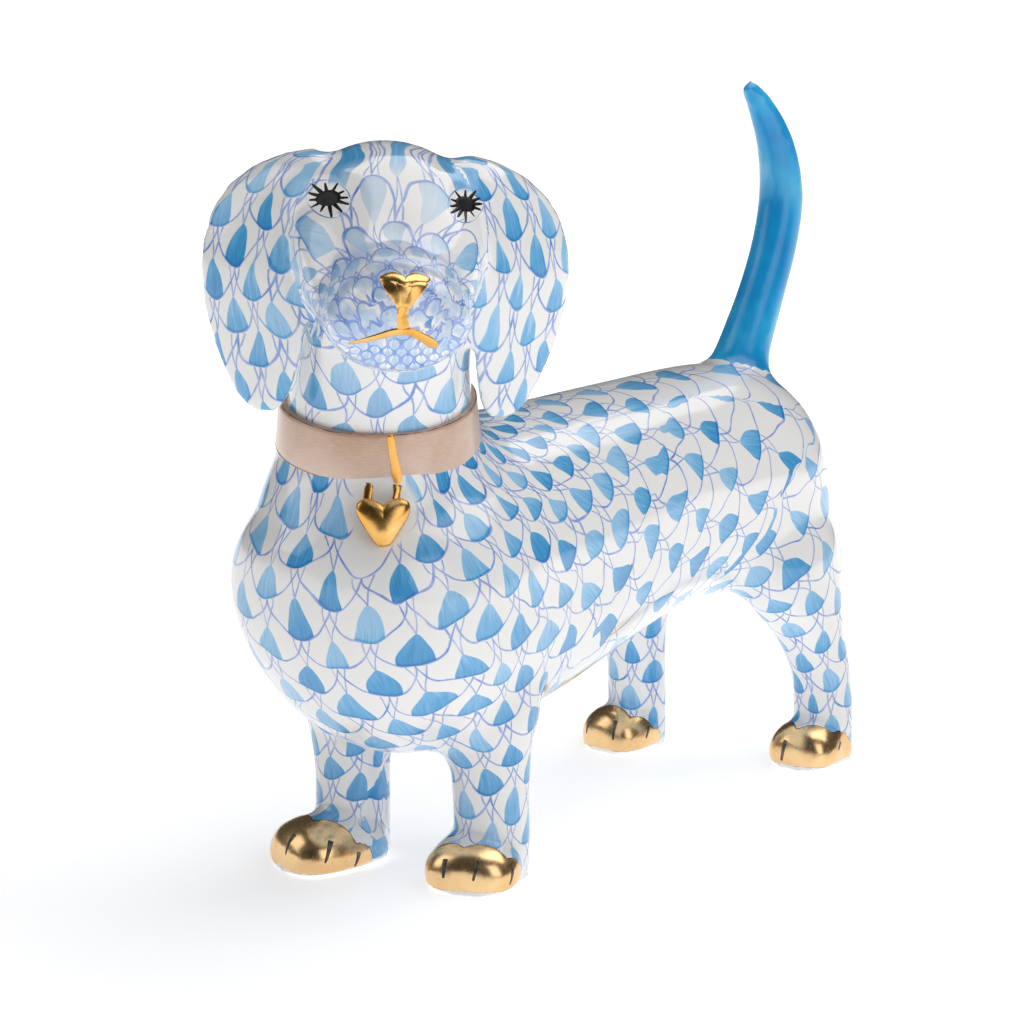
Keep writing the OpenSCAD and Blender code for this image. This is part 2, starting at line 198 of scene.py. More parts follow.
# a plug in the firing vent keeps the inside of the casting out of the skin
bpy.ops.mesh.primitive_cylinder_add(radius=VENT_PLUG * MM, depth=VENT_DEPTH * MM,
    location=[v * MM for v in VENT])
copies.append(bpy.context.object)
bpy.ops.object.select_all(action="DESELECT")
for copy in copies:
    copy.select_set(True)
bpy.context.view_layer.objects.active = copies[0]
bpy.ops.object.join()
clay = bpy.context.object
clay.name = "clay"
bpy.ops.object.mode_set(mode="EDIT")
bpy.ops.mesh.select_all(action="SELECT")
bpy.ops.mesh.remove_doubles(threshold=0.001 * MM)
bpy.ops.object.mode_set(mode="OBJECT")
remesh = clay.modifiers.new("remesh", "REMESH")
remesh.mode = "VOXEL"
remesh.voxel_size = CELL
bpy.ops.object.modifier_apply(modifier=remesh.name)
bpy.ops.object.mode_set(mode="EDIT")
bpy.ops.mesh.separate(type="LOOSE")
bpy.ops.object.mode_set(mode="OBJECT")
shells = sorted(bpy.context.selected_objects, key=lambda o: -len(o.data.vertices))
clay = shells[0]
for shell in shells[1:]:
    bpy.data.objects.remove(shell)
alone(clay)
bpy.ops.object.mode_set(mode="EDIT")
bpy.ops.mesh.select_all(action="SELECT")
bpy.ops.mesh.quads_convert_to_tris(quad_method="SHORTEST_DIAGONAL")
bpy.ops.object.mode_set(mode="OBJECT")

points = points_of(clay.data)
count = len(points)
tris = np.empty(len(clay.data.polygons) * 3, int)
clay.data.polygons.foreach_get("vertices", tris)
tris = tris.reshape(-1, 3)
# each edge once, with the two triangles beside it
sides = np.concatenate([tris[:, [0, 1]], tris[:, [1, 2]], tris[:, [2, 0]]])
side_face = np.tile(np.arange(len(tris)), 3)
forward = sides[:, 0] < sides[:, 1]
key = np.sort(sides, axis=1) @ [count, 1]
order = np.lexsort((~forward, key))
edges = sides[order[0::2]]
beside = np.stack([side_face[order[0::2]], side_face[order[1::2]]], axis=1)
degree = np.bincount(edges.ravel(), minlength=count)


def around(values):
    # mean of the neighbours of every point
    a, b = edges.T
    if values.ndim == 1:
        total = (np.bincount(a, values[b], count) + np.bincount(b, values[a], count))
        return total / degree
    return np.stack([around(values[:, k]) for k in range(values.shape[1])], axis=1)


def sponge(points, rounds, where=1.0):
    # smoothing that keeps the volume: a step in, then a slightly longer step out
    where = np.broadcast_to(where, count)[:, None]
    for _ in range(rounds):
        for step in (0.6, -0.62):
            points = points + where * step * (around(points) - points)
    return points


def normals_of(points):
    a, b, c = points[tris[:, 0]], points[tris[:, 1]], points[tris[:, 2]]
    flat = np.cross(b - a, c - a)
    out = np.stack([sum(np.bincount(tris[:, k], flat[:, d], count) for k in range(3))
        for d in range(3)], axis=1)
    return out / np.linalg.norm(out, axis=1)[:, None]


def nearest_casting(places):
    return np.array([owner[casting_tree.find_nearest(Vector(p * MM))[2]] for p in places])


place_label = nearest_casting(points)
share = np.eye(len(CASTINGS))[place_label]
for _ in range(8):
    share = around(share)
place_label = share.argmax(axis=1)
face_label = share[tris].mean(axis=1).argmax(axis=1)
# wet joins are filled with slip in their hollows and rubbed down with a sponge
grounded = np.clip(points[:, 2] / 1.2, 0, 1)
joint = (share.max(axis=1) < 0.8).astype(float)
# the throat and both thighs are filled out too
throat = np.linalg.norm((points - [-3.3, -35, 47]) / [21, 21, 16], axis=1)
joint = np.maximum(joint, np.clip(2.2 - 1.6 * throat, 0, 1) * (place_label == TORSO))
for x, y in ((7.5, 42), (-15.5, 39)):
    thigh = np.linalg.norm((points - [x, y, 37]) / [12, 15, 14], axis=1)
    joint = np.maximum(joint, np.clip(2.2 - 1.6 * thigh, 0, 1))
for _ in range(16):
    joint = around(joint)
joint = np.clip(joint * 2.2, 0, 1) * grounded
# the ears stay free of the cheek below their roots
ear_gap = np.clip((points[:, 2] - 88) / 4, 0, 1)
joint *= np.where((points[:, 2] > 66) & (place_label != TAIL), ear_gap, 1)
points = sponge(points, 8, grounded)
for _ in range(200):
    up = normals_of(points)
    pull = around(points) - points
    rise = np.clip(np.sum(pull * up, axis=1), 0, None)
    points = points + (joint * 0.75 * rise)[:, None] * up


# the head's own frame: x across the eyes, -y out of the nose
HEAD = (Matrix.Translation((2.41, -38.53, 84.6))
    @ Matrix.Rotation(math.radians(47), 4, "Z") @ Matrix.Rotation(math.radians(3), 4, "Y"))


def into(place, p):
    inverse = np.array(place.inverted())
    return p @ inverse[:3, :3].T + inverse[:3, 3]


seen = into(HEAD, points)
up = normals_of(points)
# sockets, brows, stop, cheeks, jowls, nose, chin and lip: place, half sizes, height
for x, y, z, across, deep, high, rise in (
        (-8.2, -6.2, 6.0, 3.0, 4, 2.4, -0.55), (8.8, -5.6, 6.0, 3.0, 4, 2.4, -0.55),
        (-7.4, -4.0, 9.3, 3.6, 3, 1.5, 0.45), (7.6, -4.0, 9.3, 3.6, 3, 1.5, 0.45),
        (0, -11.5, 3.4, 3.0, 4.5, 4.5, -0.5), (-8.6, -13.5, -2.6, 3.0, 3.6, 3.0, -0.6),
        (8.6, -13.5, -2.6, 3.0, 3.6, 3.0, -0.6), (-6.4, -20.5, -7.6, 3.2, 4.2, 2.4, 0.5),
        (6.4, -20.5, -7.6, 3.2, 4.2, 2.4, 0.5), (0, -25.0, -1.6, 2.8, 2.6, 1.5, 0.45),
        (0, -24.6, -11.0, 5.5, 3.4, 1.7, -0.7), (0, -25.4, -5.2, 0.8, 2.4, 2.4, -0.3)):
    away = np.linalg.norm((seen - [x, y, z]) / [across, deep, high], axis=1)
    points = points + (rise * np.exp(-1.6 * away ** 2) * (place_label == SKULL))[:, None] * up
soft = np.where((place_label == TORSO) | (place_label == TAIL), 1, np.clip(joint * 1.5, 0, 1))
points = sponge(points, 34, grounded * soft)

# ---- run of the painted scales over torso and legs --------------------------------------
# The painter starts the net under the collar and lets it run down the chest, along the
# flanks and down the legs like water. Four columns of scales arrive at every paw.
ROW_BODY = 4.1                             # from one row of scales to the next
PAW_COLUMNS = 4


def flow(keep, drains, flux, held, pitch):
    # keep: triangles the paint covers; drains: places where flux columns arrive
    # held: points where the columns start; pitch: height of a row in mm at every point
    t = tris[keep]
    p = points[t]
    side = p[:, [1, 2, 0]] - p[:, [0, 1, 2]]
    area = np.linalg.norm(np.cross(side[:, 0], -side[:, 2]), axis=1)[:, None] / 2
    cot = -np.stack([np.sum(side[:, (k + 1) % 3] * side[:, (k + 2) % 3], axis=1)
        for k in range(3)], axis=1) / (2 * area)
    weight = np.clip(cot, 0.02, 8) / 2       # weight[k] belongs to the edge k, k + 1
    a, b = t.ravel(), t[:, [1, 2, 0]].ravel()
    w = weight.ravel()
    diagonal = np.bincount(a, w, count) + np.bincount(b, w, count)
    free = (diagonal > 0) & ~held
    guard = np.where(diagonal > 0, diagonal, 1)

    def apply(x):
        return diagonal * x - np.bincount(a, w * x[b], count) - np.bincount(b, w * x[a], count)

    def solve(right, rounds):
        x = np.zeros(count)
        r = np.where(free, right, 0)
        z = r / guard
        d = z.copy()
        rz = r @ z
        first = rz
        for _ in range(rounds):
            q = np.where(free, apply(d), 0)
            step = rz / (d @ q)
            x += step * d
            r -= step * q
            z = r / guard
            new = r @ z
            if new < 1e-13 * first:
                break
            d = z + new / rz * d
            rz = new
        return x

    right = np.zeros(count)
    for where, amount in zip(drains, flux):
        right[where] = amount / np.count_nonzero(where)
    v = solve(right, 1500)
    # slope of v on every triangle
    normal = np.cross(side[:, 0], -side[:, 2])
    normal /= np.linalg.norm(normal, axis=1)[:, None]
    slope = sum(v[t[:, (k + 2) % 3]][:, None] * np.cross(normal, side[:, k]) for k in range(3))
    slope /= 2 * area
    steep = np.linalg.norm(slope, axis=1)
    want = slope / (steep[:, None] + 1e-5) / pitch[t].mean(axis=1)[:, None]
    right = np.zeros(count)
    for k in range(3):
        # side k pulls its two ends apart by the wanted rise along it
        rise = weight[:, k] * np.sum(want * side[:, k], axis=1)
        right += np.bincount(t[:, (k + 1) % 3], rise, count) - np.bincount(t[:, k], rise, count)
    row = solve(right, 1500)
    # column of every triangle, walking from triangle to triangle
    number = np.full(len(tris), -1)
    number[np.flatnonzero(keep)] = np.arange(len(t))
    near = number[beside]
    inner = (near >= 0).all(axis=1)
    e, near = edges[inner], near[inner]
    both = np.zeros(len(e))
    turn = np.zeros(len(e))
    for s in range(2):
        f = near[:, s]
        for k in range(3):
            hit = ((t[f, k] == e[:, 0]) & (t[f, (k + 1) % 3] == e[:, 1]))
            back = ((t[f, k] == e[:, 1]) & (t[f, (k + 1) % 3] == e[:, 0]))
            both += np.where(hit | back, weight[f, k], 0)
            if s == 0:
                turn += np.where(hit, 1, 0) - np.where(back, 1, 0)
    step = turn * both * (v[e[:, 1]] - v[e[:, 0]])      # from triangle 0 to triangle 1
    links = [[] for _ in range(len(t))]
    for (f, g), s in zip(near.tolist(), step.tolist()):
        links[f].append((g, s))
        links[g].append((f, -s))
    seen = np.zeros(len(t), bool)
    values = [0.0] * len(t)
    for seed in range(len(t)):
        if seen[seed]:
            continue
        seen[seed] = True
        wave = [seed]
        while wave:
            following = []
            for f in wave:
                for g, s in links[f]:
                    if not seen[g]:
                        seen[g] = True
                        values[g] = values[f] + s
                        following.append(g)
            wave = following
    column = np.array(values)
    # shared corner values: the mean over the triangles round a point, as seen from each
    turns = np.zeros(count, complex)
    for k in range(3):
        turns += (np.bincount(t[:, k], np.cos(column * 2 * np.pi), count)
            + 1j * np.bincount(t[:, k], np.sin(column * 2 * np.pi), count))
    phase = np.angle(turns) / (2 * np.pi)
    corner = phase[t]
    corner = corner + np.round(column[:, None] - corner)
    return t, corner, row, steep, step, near


def smooth_to_points(t, per_face, rounds):
    total = sum(np.bincount(t[:, k], per_face, count) for k in range(3))
    hits = sum(np.bincount(t[:, k], minlength=count) for k in range(3))
    out = np.where(hits > 0, total / np.maximum(hits, 1), np.median(per_face))
    for _ in range(rounds):
        out = around(out)
    return out


# the collar's own frame: -y to the front of the neck, z up the neck
COLLAR = (Matrix.Translation((-3.29, -34.23, 61.6))
    @ Matrix.Rotation(math.radians(43), 4, "Z") @ Matrix.Rotation(math.radians(14), 4, "X"))
by_collar = into(COLLAR, points)
by_head = into(HEAD, points)
body_face = np.isin(face_label, [TORSO, *LEGS])
held = by_collar[:, 2] > -1.0
held &= (place_label == TORSO) | (place_label == SKULL)
soles = [(place_label == k) & (points[:, 2] < 1.6) for k in LEGS]
pitch_body = np.full(count, ROW_BODY)
body = flow(body_face, soles, [PAW_COLUMNS] * 4, held, pitch_body)

# ---- run of the painted scales over head and ears ---------------------------------------
# On the head the net starts at the lip and runs up over the muzzle and brow to the nape.
# The neck has level rows of its own, and the ears are painted flat, like hanging leaves.
NECK_COLUMNS, WIDTH_NECK, ROW_NECK = 8, 9.6, 4.2
WIDTH_EAR, ROW_EAR = 6.2, 4.5
LIP_COLUMNS = 18                           # columns that start at the lip
head_face = face_label == SKULL
lip_low = -7.4 - 0.36 * np.abs(by_head[:, 0])
lip = ((place_label == SKULL) & (np.abs(by_head[:, 0]) < 5.6) & (by_head[:, 1] < -18)
    & (np.abs(by_head[:, 2] - lip_low) < 0.7))
pitch_head = 1.9 + 1.1 * np.clip((by_head[:, 1] + 25) / 16, 0, 1)
# the neck under the jaw has its own rows, level with the collar
skin_up = normals_of(points) @ np.array(HEAD)[:3, :3]
jaw = -12.4 + 0.22 * np.clip(by_head[:, 1] + 8, 0, 30)
neck_share = ((by_head[:, 2] < jaw) & (skin_up[:, 2] > -0.62) & (by_head[:, 1] > -16)
    & (place_label == SKULL)).astype(float)
neck_share[(place_label == SKULL) & (by_collar[:, 2] < 5)] = 1
for _ in range(5):
    neck_share = around(neck_share)
neck_face = head_face & (neck_share[tris].mean(axis=1) > 0.5)
head_face &= ~neck_face
nape = (neck_share > 0.55) & (by_head[:, 1] > -9)
head = flow(head_face, [lip], [-LIP_COLUMNS], nape, pitch_head)
# middle line of the left ear, from its root to its tip
EAR_LINE = np.array([(5.6, 3.2, 8.2), (9.6, 3, 9.8), (13.6, 2.2, 8.4), (16.2, 1.2, 3.6),
    (17.2, 0.6, -3), (17, 0.4, -9.4), (16.4, 0.4, -15.2), (15.8, 0.4, -19.4),
    (15.5, 0.4, -24)])
EAR_ACROSS = np.array([math.sin(math.radians(56)), math.cos(math.radians(56)), 0])


def ear_chart(p, side):
    q = p * [side, 1, 1]
    best = np.full(len(q), 1e9)
    down, across = np.zeros((2, len(q)))
    length = 0
    for a, b in zip(EAR_LINE, EAR_LINE[1:]):
        way = b - a
        flat_way = way - EAR_ACROSS * (way @ EAR_ACROSS)
        rel = q - a
        flat = rel - np.outer(rel @ EAR_ACROSS, EAR_ACROSS)
        share = np.clip(flat @ flat_way / (flat_way @ flat_way), 0, 1)
        gap = np.linalg.norm(flat - share[:, None] * flat_way, axis=1)
        hit = gap < best
        best = np.where(hit, gap, best)
        span = np.linalg.norm(way)
        down = np.where(hit, length + share * span, down)
        across = np.where(hit, (rel - share[:, None] * way) @ EAR_ACROSS, across)
        length += span
    return down, across

# ---- one number for every scale ---------------------------------------------------------
# Each scale is filled with its own mix of blue, so every triangle has to know which scale
# it lies in. Two staggered sets of scales, a and b, cover the whole skin.


def cells(t, corner, row, step, near, odd):
    # one set's scale numbers, each shared by all the triangles inside the scale
    column = corner.mean(axis=1)
    level = row[t].mean(axis=1)
    across = np.round(column - odd / 2).astype(int)
    down = np.floor((level - odd - 0.3) / 2).astype(int)
    f, g = near.T
    jump = np.round(column[f] + step - column[g]).astype(int)
    same = (across[f] - jump == across[g]) & (down[f] == down[g])
    f, g = f[same], g[same]
    number = np.arange(len(t))
    while True:
        least = np.minimum(number[f], number[g])
        fresh = number.copy()
        np.minimum.at(fresh, f, least)
        np.minimum.at(fresh, g, least)
        fresh = fresh[fresh]
        if (fresh == number).all():
            return number
        number = fresh


def scatter(number, salt):
    # the same chance value for every triangle of a scale
    return np.modf(np.abs(np.sin((number + salt) * 12.9898) * 43758.5453))[0]


uv = np.zeros((len(tris), 3, 2))
wide = np.full(count, 8.0)                 # from column to column
chance = {name: np.zeros(len(tris)) for name in ("tint_a", "tint_b", "cut_a", "cut_b")}


def deal(keep, letter, number, salt, cut_salt):
    chance["tint_" + letter][keep] = scatter(number, salt)
    chance["cut_" + letter][keep] = scatter(number, cut_salt)


def lay(keep, result):
    t, corner, row, steep, step, near = result
    uv[keep, :, 0] = corner
    uv[keep, :, 1] = row[t]
    inside = np.zeros(count, bool)
    inside[t.ravel()] = True
    spread = 1 / smooth_to_points(t, np.clip(steep, 0.03, 0.6), 6)
    wide[inside] = spread[inside]
    for odd, letter in ((0, "a"), (1, "b")):
        number = cells(t, corner, row, step, near, odd)
        deal(keep, letter, number, 7.1, 91.7)
        # scales whose drop would touch the heart are left without one
        down = np.mod(row[t].mean(axis=1) - odd, 2)
        lower = (down > 1.3) & (down < 1.8)
        middle = by_collar[t].mean(axis=1)
        hits = np.maximum(np.bincount(number[lower], minlength=len(t)), 1)
        centre = np.stack([np.bincount(number[lower], middle[lower, k], len(t)) / hits
            for k in range(3)], axis=1)[number]
        close = np.linalg.norm((centre - [0.4, -15.5, -7.2]) / [5.6, 6, 5.4], axis=1) < 1
        chance["tint_" + letter][np.flatnonzero(keep)[close]] = -1


lay(body_face, body)
lay(head_face, head)
around_neck = by_collar[tris[neck_face]]
turn = np.arctan2(around_neck[:, :, 0], -around_neck[:, :, 1]) / (2 * math.pi)
turn = turn + np.round(turn[:, :1] - turn)
uv[neck_face, :, 0] = turn * NECK_COLUMNS
uv[neck_face, :, 1] = (4.6 - around_neck[:, :, 2]) / ROW_NECK
mid = uv[neck_face].mean(axis=1)
for odd, letter in ((0, "a"), (1, "b")):
    number = (np.mod(np.round(mid[:, 0] - odd / 2), NECK_COLUMNS) * 17
        + np.floor((mid[:, 1] - odd - 0.3) / 2) * 5)
    deal(neck_face, letter, number, 3.3, 51.7)
pitch_all = np.where(place_label == SKULL, pitch_head, pitch_body)
wide[neck_share > 0.5] = WIDTH_NECK
pitch_all[neck_share > 0.5] = ROW_NECK
for k, side in ((LEFT_EAR, 1), (RIGHT_EAR, -1)):
    keep = face_label == k
    down, across = ear_chart(by_head[tris[keep]].reshape(-1, 3), side)
    uv[keep, :, 0] = (across / WIDTH_EAR + 0.25).reshape(-1, 3)
    uv[keep, :, 1] = (down / ROW_EAR + 0.35).reshape(-1, 3)
    mid = uv[keep].mean(axis=1)
    for odd, letter in ((0, "a"), (1, "b")):
        number = (np.round(mid[:, 0] - odd / 2) * 31 + np.floor((mid[:, 1] - odd - 0.3) / 2) * 7
            + k * 13)
        deal(keep, letter, number, 7.1, 91.7)
    inside = place_label == k
    wide[inside] = WIDTH_EAR
    pitch_all[inside] = ROW_EAR

# ---- blue paint: the net of scales ------------------------------------------------------
# Blue is brushed on the white body. Each scale is a thin arc with a leaf-shaped drop at its
# lower edge. Two fine stems run from the drop above to the point of the drop below, and the
# rows are staggered.


class Wires:
    def __init__(self, tree):
        self.tree = tree

    def node(self, kind, **settings):
        made = self.tree.nodes.new(kind)
        for name, value in settings.items():
            setattr(made, name, value)
        return made

    def feed(self, socket, value):
        if hasattr(value, "is_output"):
            self.tree.links.new(value, socket)
        else:
            socket.default_value = value

    def math(self, operation, *values, clamp=False):
        made = self.node("ShaderNodeMath", operation=operation, use_clamp=clamp)
        for k, value in enumerate(values):
            self.feed(made.inputs[k], value)
        return made.outputs[0]

    def add(self, a, b):
        return self.math("ADD", a, b)

    def sub(self, a, b):
        return self.math("SUBTRACT", a, b)

    def mul(self, a, b):
        return self.math("MULTIPLY", a, b)

    def ramp(self, value, low, high, to_low=0.0, to_high=1.0):
        made = self.node("ShaderNodeMapRange", interpolation_type="SMOOTHSTEP")
        for k, v in enumerate((value, low, high, to_low, to_high)):
            self.feed(made.inputs[k], v)
        return made.outputs[0]

    def mix(self, share, a, b):
        made = self.node("ShaderNodeMix", data_type="RGBA")
        self.feed(made.inputs[0], share)
        self.feed(made.inputs[6], a)
        self.feed(made.inputs[7], b)
        return made.outputs[2]

    def noise(self, vector, scale, detail=2.0, rough=0.5):
        made = self.node("ShaderNodeTexNoise")
        self.feed(made.inputs["Vector"], vector)
        made.inputs["Scale"].default_value = scale
        made.inputs["Detail"].default_value = detail
        made.inputs["Roughness"].default_value = rough
        return made.outputs["Fac"]

    def place(self):
        return self.node("ShaderNodeTexCoord").outputs["Object"]

    def attribute(self, name):
        return self.node("ShaderNodeAttribute", attribute_name=name).outputs["Fac"]

    def tones(self, value, palest, between, deepest):
        # from the palest to the deepest colour of one paint, as it was brushed on
        made = self.node("ShaderNodeValToRGB")
        self.feed(made.inputs[0], value)
        stops = made.color_ramp.elements
        stops[0].color, stops[1].color = shade(palest), shade(deepest)
        for at, colour in between:
            stops.new(at).color = shade(colour)
        return made.outputs[0]

    def vector(self, x, y, z):
        made = self.node("ShaderNodeCombineXYZ")
        for k, v in enumerate((x, y, z)):
            self.feed(made.inputs[k], v)
        return made.outputs[0]


def shade(hexa):
    parts = [int(hexa[k:k + 2], 16) / 255 for k in (0, 2, 4)]
    return tuple(c / 12.92 if c < 0.04045 else ((c + 0.055) / 1.055) ** 2.4 for c in parts) + (1,)


def new_group(name, inputs, outputs):
    tree = bpy.data.node_groups.new(name, "ShaderNodeTree")
    for label, kind in inputs:
        tree.interface.new_socket(label, in_out="INPUT", socket_type=kind)
    for label, kind in outputs:
        tree.interface.new_socket(label, in_out="OUTPUT", socket_type=kind)
    w = Wires(tree)
    start = w.node("NodeGroupInput")
    end = w.node("NodeGroupOutput")
    return w, start.outputs, end.inputs


FLOAT, COLOUR = "NodeSocketFloat", "NodeSocketColor"
APEX = 0.92                                # where a drop's point lies, in rows
ARC_OUT, ARC_DOWN = 1.8, 1.61              # how full the arc is across and down
# one staggered set of scales: where its lines and its drops lie
w, given, result = new_group("scale_set", [("Column", FLOAT), ("Row", FLOAT), ("Width", FLOAT),
    ("Height", FLOAT), ("Cut", FLOAT), ("Pen", FLOAT)],
    [("Line", FLOAT), ("Drop", FLOAT), ("Rim", FLOAT), ("Across", FLOAT), ("Down", FLOAT)])
aside = w.sub(given["Column"], w.math("ROUND", given["Column"]))
level = w.math("FLOORED_MODULO", given["Row"], 2.0)
out = w.math("ABSOLUTE", aside)
twice_out = w.mul(out, 2.0)
below = w.math("MAXIMUM", w.sub(level, 1.0), 0.0001)
excess = w.sub(w.add(w.math("POWER", twice_out, ARC_OUT), w.math("POWER", below, ARC_DOWN)), 1.0)
slope_out = w.math("DIVIDE", w.mul(w.math("POWER", twice_out, ARC_OUT - 1), 2 * ARC_OUT), given["Width"])
slope_down = w.math("DIVIDE", w.mul(w.math("POWER", below, ARC_DOWN - 1), ARC_DOWN), given["Height"])
steepness = w.add(w.mul(slope_out, slope_out), w.mul(slope_down, slope_down))
steepness = w.math("SQRT", w.add(steepness, 1e-5))
beyond = w.math("DIVIDE", excess, steepness)              # mm outside the arc
pen = given["Pen"]
arc = w.ramp(w.sub(w.math("ABSOLUTE", beyond), pen), -0.05, 0.07, 1.0, 0.0)
arc = w.mul(arc, w.math("GREATER_THAN", level, 0.97))
fall = w.math("DIVIDE", w.sub(level, APEX), 2 - APEX, clamp=True)
cube = w.math("POWER", fall, 3.0)
half = w.math("MINIMUM", 0.26, w.math("DIVIDE", 2.55, given["Width"]))
half = w.mul(half, w.add(0.84, w.mul(given["Cut"], 0.3)))
belly = w.mul(w.mul(half, w.math("POWER", fall, 0.66)), w.sub(1.14, w.mul(cube, 0.3)))
side = w.mul(w.sub(belly, out), given["Width"])
above = w.mul(w.sub(level, APEX), given["Height"])
inside = w.math("MINIMUM", w.math("MINIMUM", side, above), w.mul(beyond, -1.0))
drop = w.ramp(inside, -0.05, 0.06)
rim = w.mul(w.ramp(w.mul(beyond, -1.0), 0.05, 0.5, 1.0, 0.0), drop)
lean = w.mul(w.sub(1.0, w.math("DIVIDE", level, APEX)), w.mul(half, 0.5))
stem = w.math("ABSOLUTE", w.mul(w.sub(out, lean), given["Width"]))
stem = w.ramp(w.sub(stem, w.mul(pen, 0.8)), -0.05, 0.07, 1.0, 0.0)
stem = w.mul(stem, w.math("LESS_THAN", level, APEX + 0.02))
line = w.math("MAXIMUM", arc, w.mul(stem, 0.9))
w.feed(result["Line"], line)
w.feed(result["Drop"], drop)
w.feed(result["Rim"], rim)
w.feed(result["Across"], w.mul(aside, given["Width"]))
w.feed(result["Down"], level)

# the whole net as colour over a white ground
w, given, result = new_group("fish_net", [("Drops", FLOAT), ("Lines", FLOAT), ("Ground", COLOUR)],
    [("Colour", COLOUR)])
place = w.place()
map_node = w.node("ShaderNodeUVMap", uv_map="net")
split = w.node("ShaderNodeSeparateXYZ")
w.feed(split.inputs[0], map_node.outputs[0])
width = w.attribute("column_width")
height = w.attribute("row_height")
wander = w.noise(place, 130.0, 1.0)
shift = w.node("ShaderNodeMapping")
w.feed(shift.inputs[0], place)
shift.inputs[1].default_value = (0.37, 0.11, 0.73)
wander2 = w.noise(shift.outputs[0], 120.0, 1.0)
# the hand wanders by a few millimetres, and by less where the scales are small
stray_across = w.math("MINIMUM", w.math("DIVIDE", 4.2, width), 0.55)
stray_down = w.math("MINIMUM", w.math("DIVIDE", 4.5, height), 1.1)
column = w.add(split.outputs[0], w.mul(w.sub(wander, 0.5), stray_across))
row = w.add(split.outputs[1], w.mul(w.sub(wander2, 0.5), stray_down))
pen = w.add(0.045, w.mul(w.noise(place, 700.0, 2.0), 0.15))
sets = []
for odd, letter in ((0, "a"), (1, "b")):
    made = w.node("ShaderNodeGroup")
    made.node_tree = bpy.data.node_groups["scale_set"]
    w.feed(made.inputs["Column"], w.sub(column, odd / 2))
    w.feed(made.inputs["Row"], w.sub(row, float(odd)))
    w.feed(made.inputs["Width"], width)
    w.feed(made.inputs["Height"], height)
    w.feed(made.inputs["Cut"], w.attribute("cut_" + letter))
    w.feed(made.inputs["Pen"], pen)
    tint = w.attribute("tint_" + letter)
    hair = w.vector(w.mul(made.outputs["Across"], 3.2), w.mul(made.outputs["Down"], 1.1),
        w.mul(tint, 40.0))
    strokes = w.noise(hair, 1.0, 3.0, 0.6)
    tone = w.add(w.mul(tint, 0.62), w.mul(w.sub(strokes, 0.5), 0.95))
    tone = w.add(tone, w.mul(w.sub(made.outputs["Down"], 1.5), 0.35))
    tone = w.add(tone, w.mul(made.outputs["Rim"], 0.42))
    left = w.mul(made.outputs["Drop"], w.math("GREATER_THAN", tint, -0.5))
    sets.append((made, tone, left))
tone = w.mix(sets[0][2], sets[1][1], sets[0][1])
drop_blue = w.tones(tone, "9CCDF2", ((0.3, "6DB6E6"), (0.55, "45A3DB"), (0.8, "2590D0")), "0E7CC4")
drop = w.math("MAXIMUM", sets[0][2], sets[1][2])
line = w.math("MAXIMUM", sets[0][0].outputs["Line"], sets[1][0].outputs["Line"])
press = w.add(0.38, w.mul(w.noise(place, 420.0, 2.0), 0.85))
line_tint = w.mix(w.ramp(w.noise(place, 500.0, 1.0), 0.42, 0.66), shade("7F9CE4"), shade("3F80D6"))
colour = w.mix(w.mul(w.mul(line, press), given["Lines"]), given["Ground"], line_tint)
colour = w.mix(w.mul(w.mul(drop, given["Drops"]), 0.97), colour, drop_blue)
w.feed(result["Colour"], colour)


def new_material(name):
    made = bpy.data.materials.new(name)
    made.use_nodes = True
    w = Wires(made.node_tree)
    return made, w, made.node_tree.nodes["Principled BSDF"].inputs


def clear_glaze(skin, rough, coat):
    skin["Roughness"].default_value = rough
    skin["Coat Weight"].default_value = coat
    skin["Coat Roughness"].default_value = 0.05

# ---- torso, legs and head ---------------------------------------------------------------
# Slip castings in white porcelain, painted with the net under a clear gloss glaze. Each
# keeps its own piece of the skin, closed where it is luted to its neighbour, and the glaze
# runs on over the joins without a step.
porcelain, w, skin = new_material("painted_porcelain")
net_node = w.node("ShaderNodeGroup")
net_node.node_tree = bpy.data.node_groups["fish_net"]
w.feed(net_node.inputs["Drops"], w.mul(w.attribute("bare"), w.attribute("drop_strength")))
w.feed(net_node.inputs["Lines"], w.attribute("bare"))
place = w.place()
white = w.mix(w.noise(place, 60.0, 2.0), shade("F4F2EF"), shade("F8F8F7"))
washed = w.mul(w.attribute("wash"), w.ramp(w.noise(place, 330.0, 2.0), 0.34, 0.62))
w.feed(net_node.inputs["Ground"], w.mix(washed, white, shade("BFD2F1")))
w.feed(skin["Base Color"], net_node.outputs["Colour"])
clear_glaze(skin, 0.16, 0.5)

normals = normals_of(points)
# no net inside the eyes and none close to the heart
bare = np.ones(count)
for x, y, z, across, high in ((-7.98, -6.35, 6.25, 2.6, 2.1), (9.17, -5.3, 6.11, 2.4, 2.0)):
    away = np.linalg.norm((by_head - [x, y, z]) / [across, 3, high], axis=1)
    bare = np.minimum(bare, np.clip((away - 0.95) * 6, 0, 1))
away = np.linalg.norm((by_collar - [0.4, -15.2, -6.2]) / [4.2, 5, 4.3], axis=1)
bare = np.minimum(bare, np.clip((away - 0.95) * 5, 0, 1))
bare = np.minimum(bare, np.clip((points[:, 2] - 0.9) * 3, 0, 1))
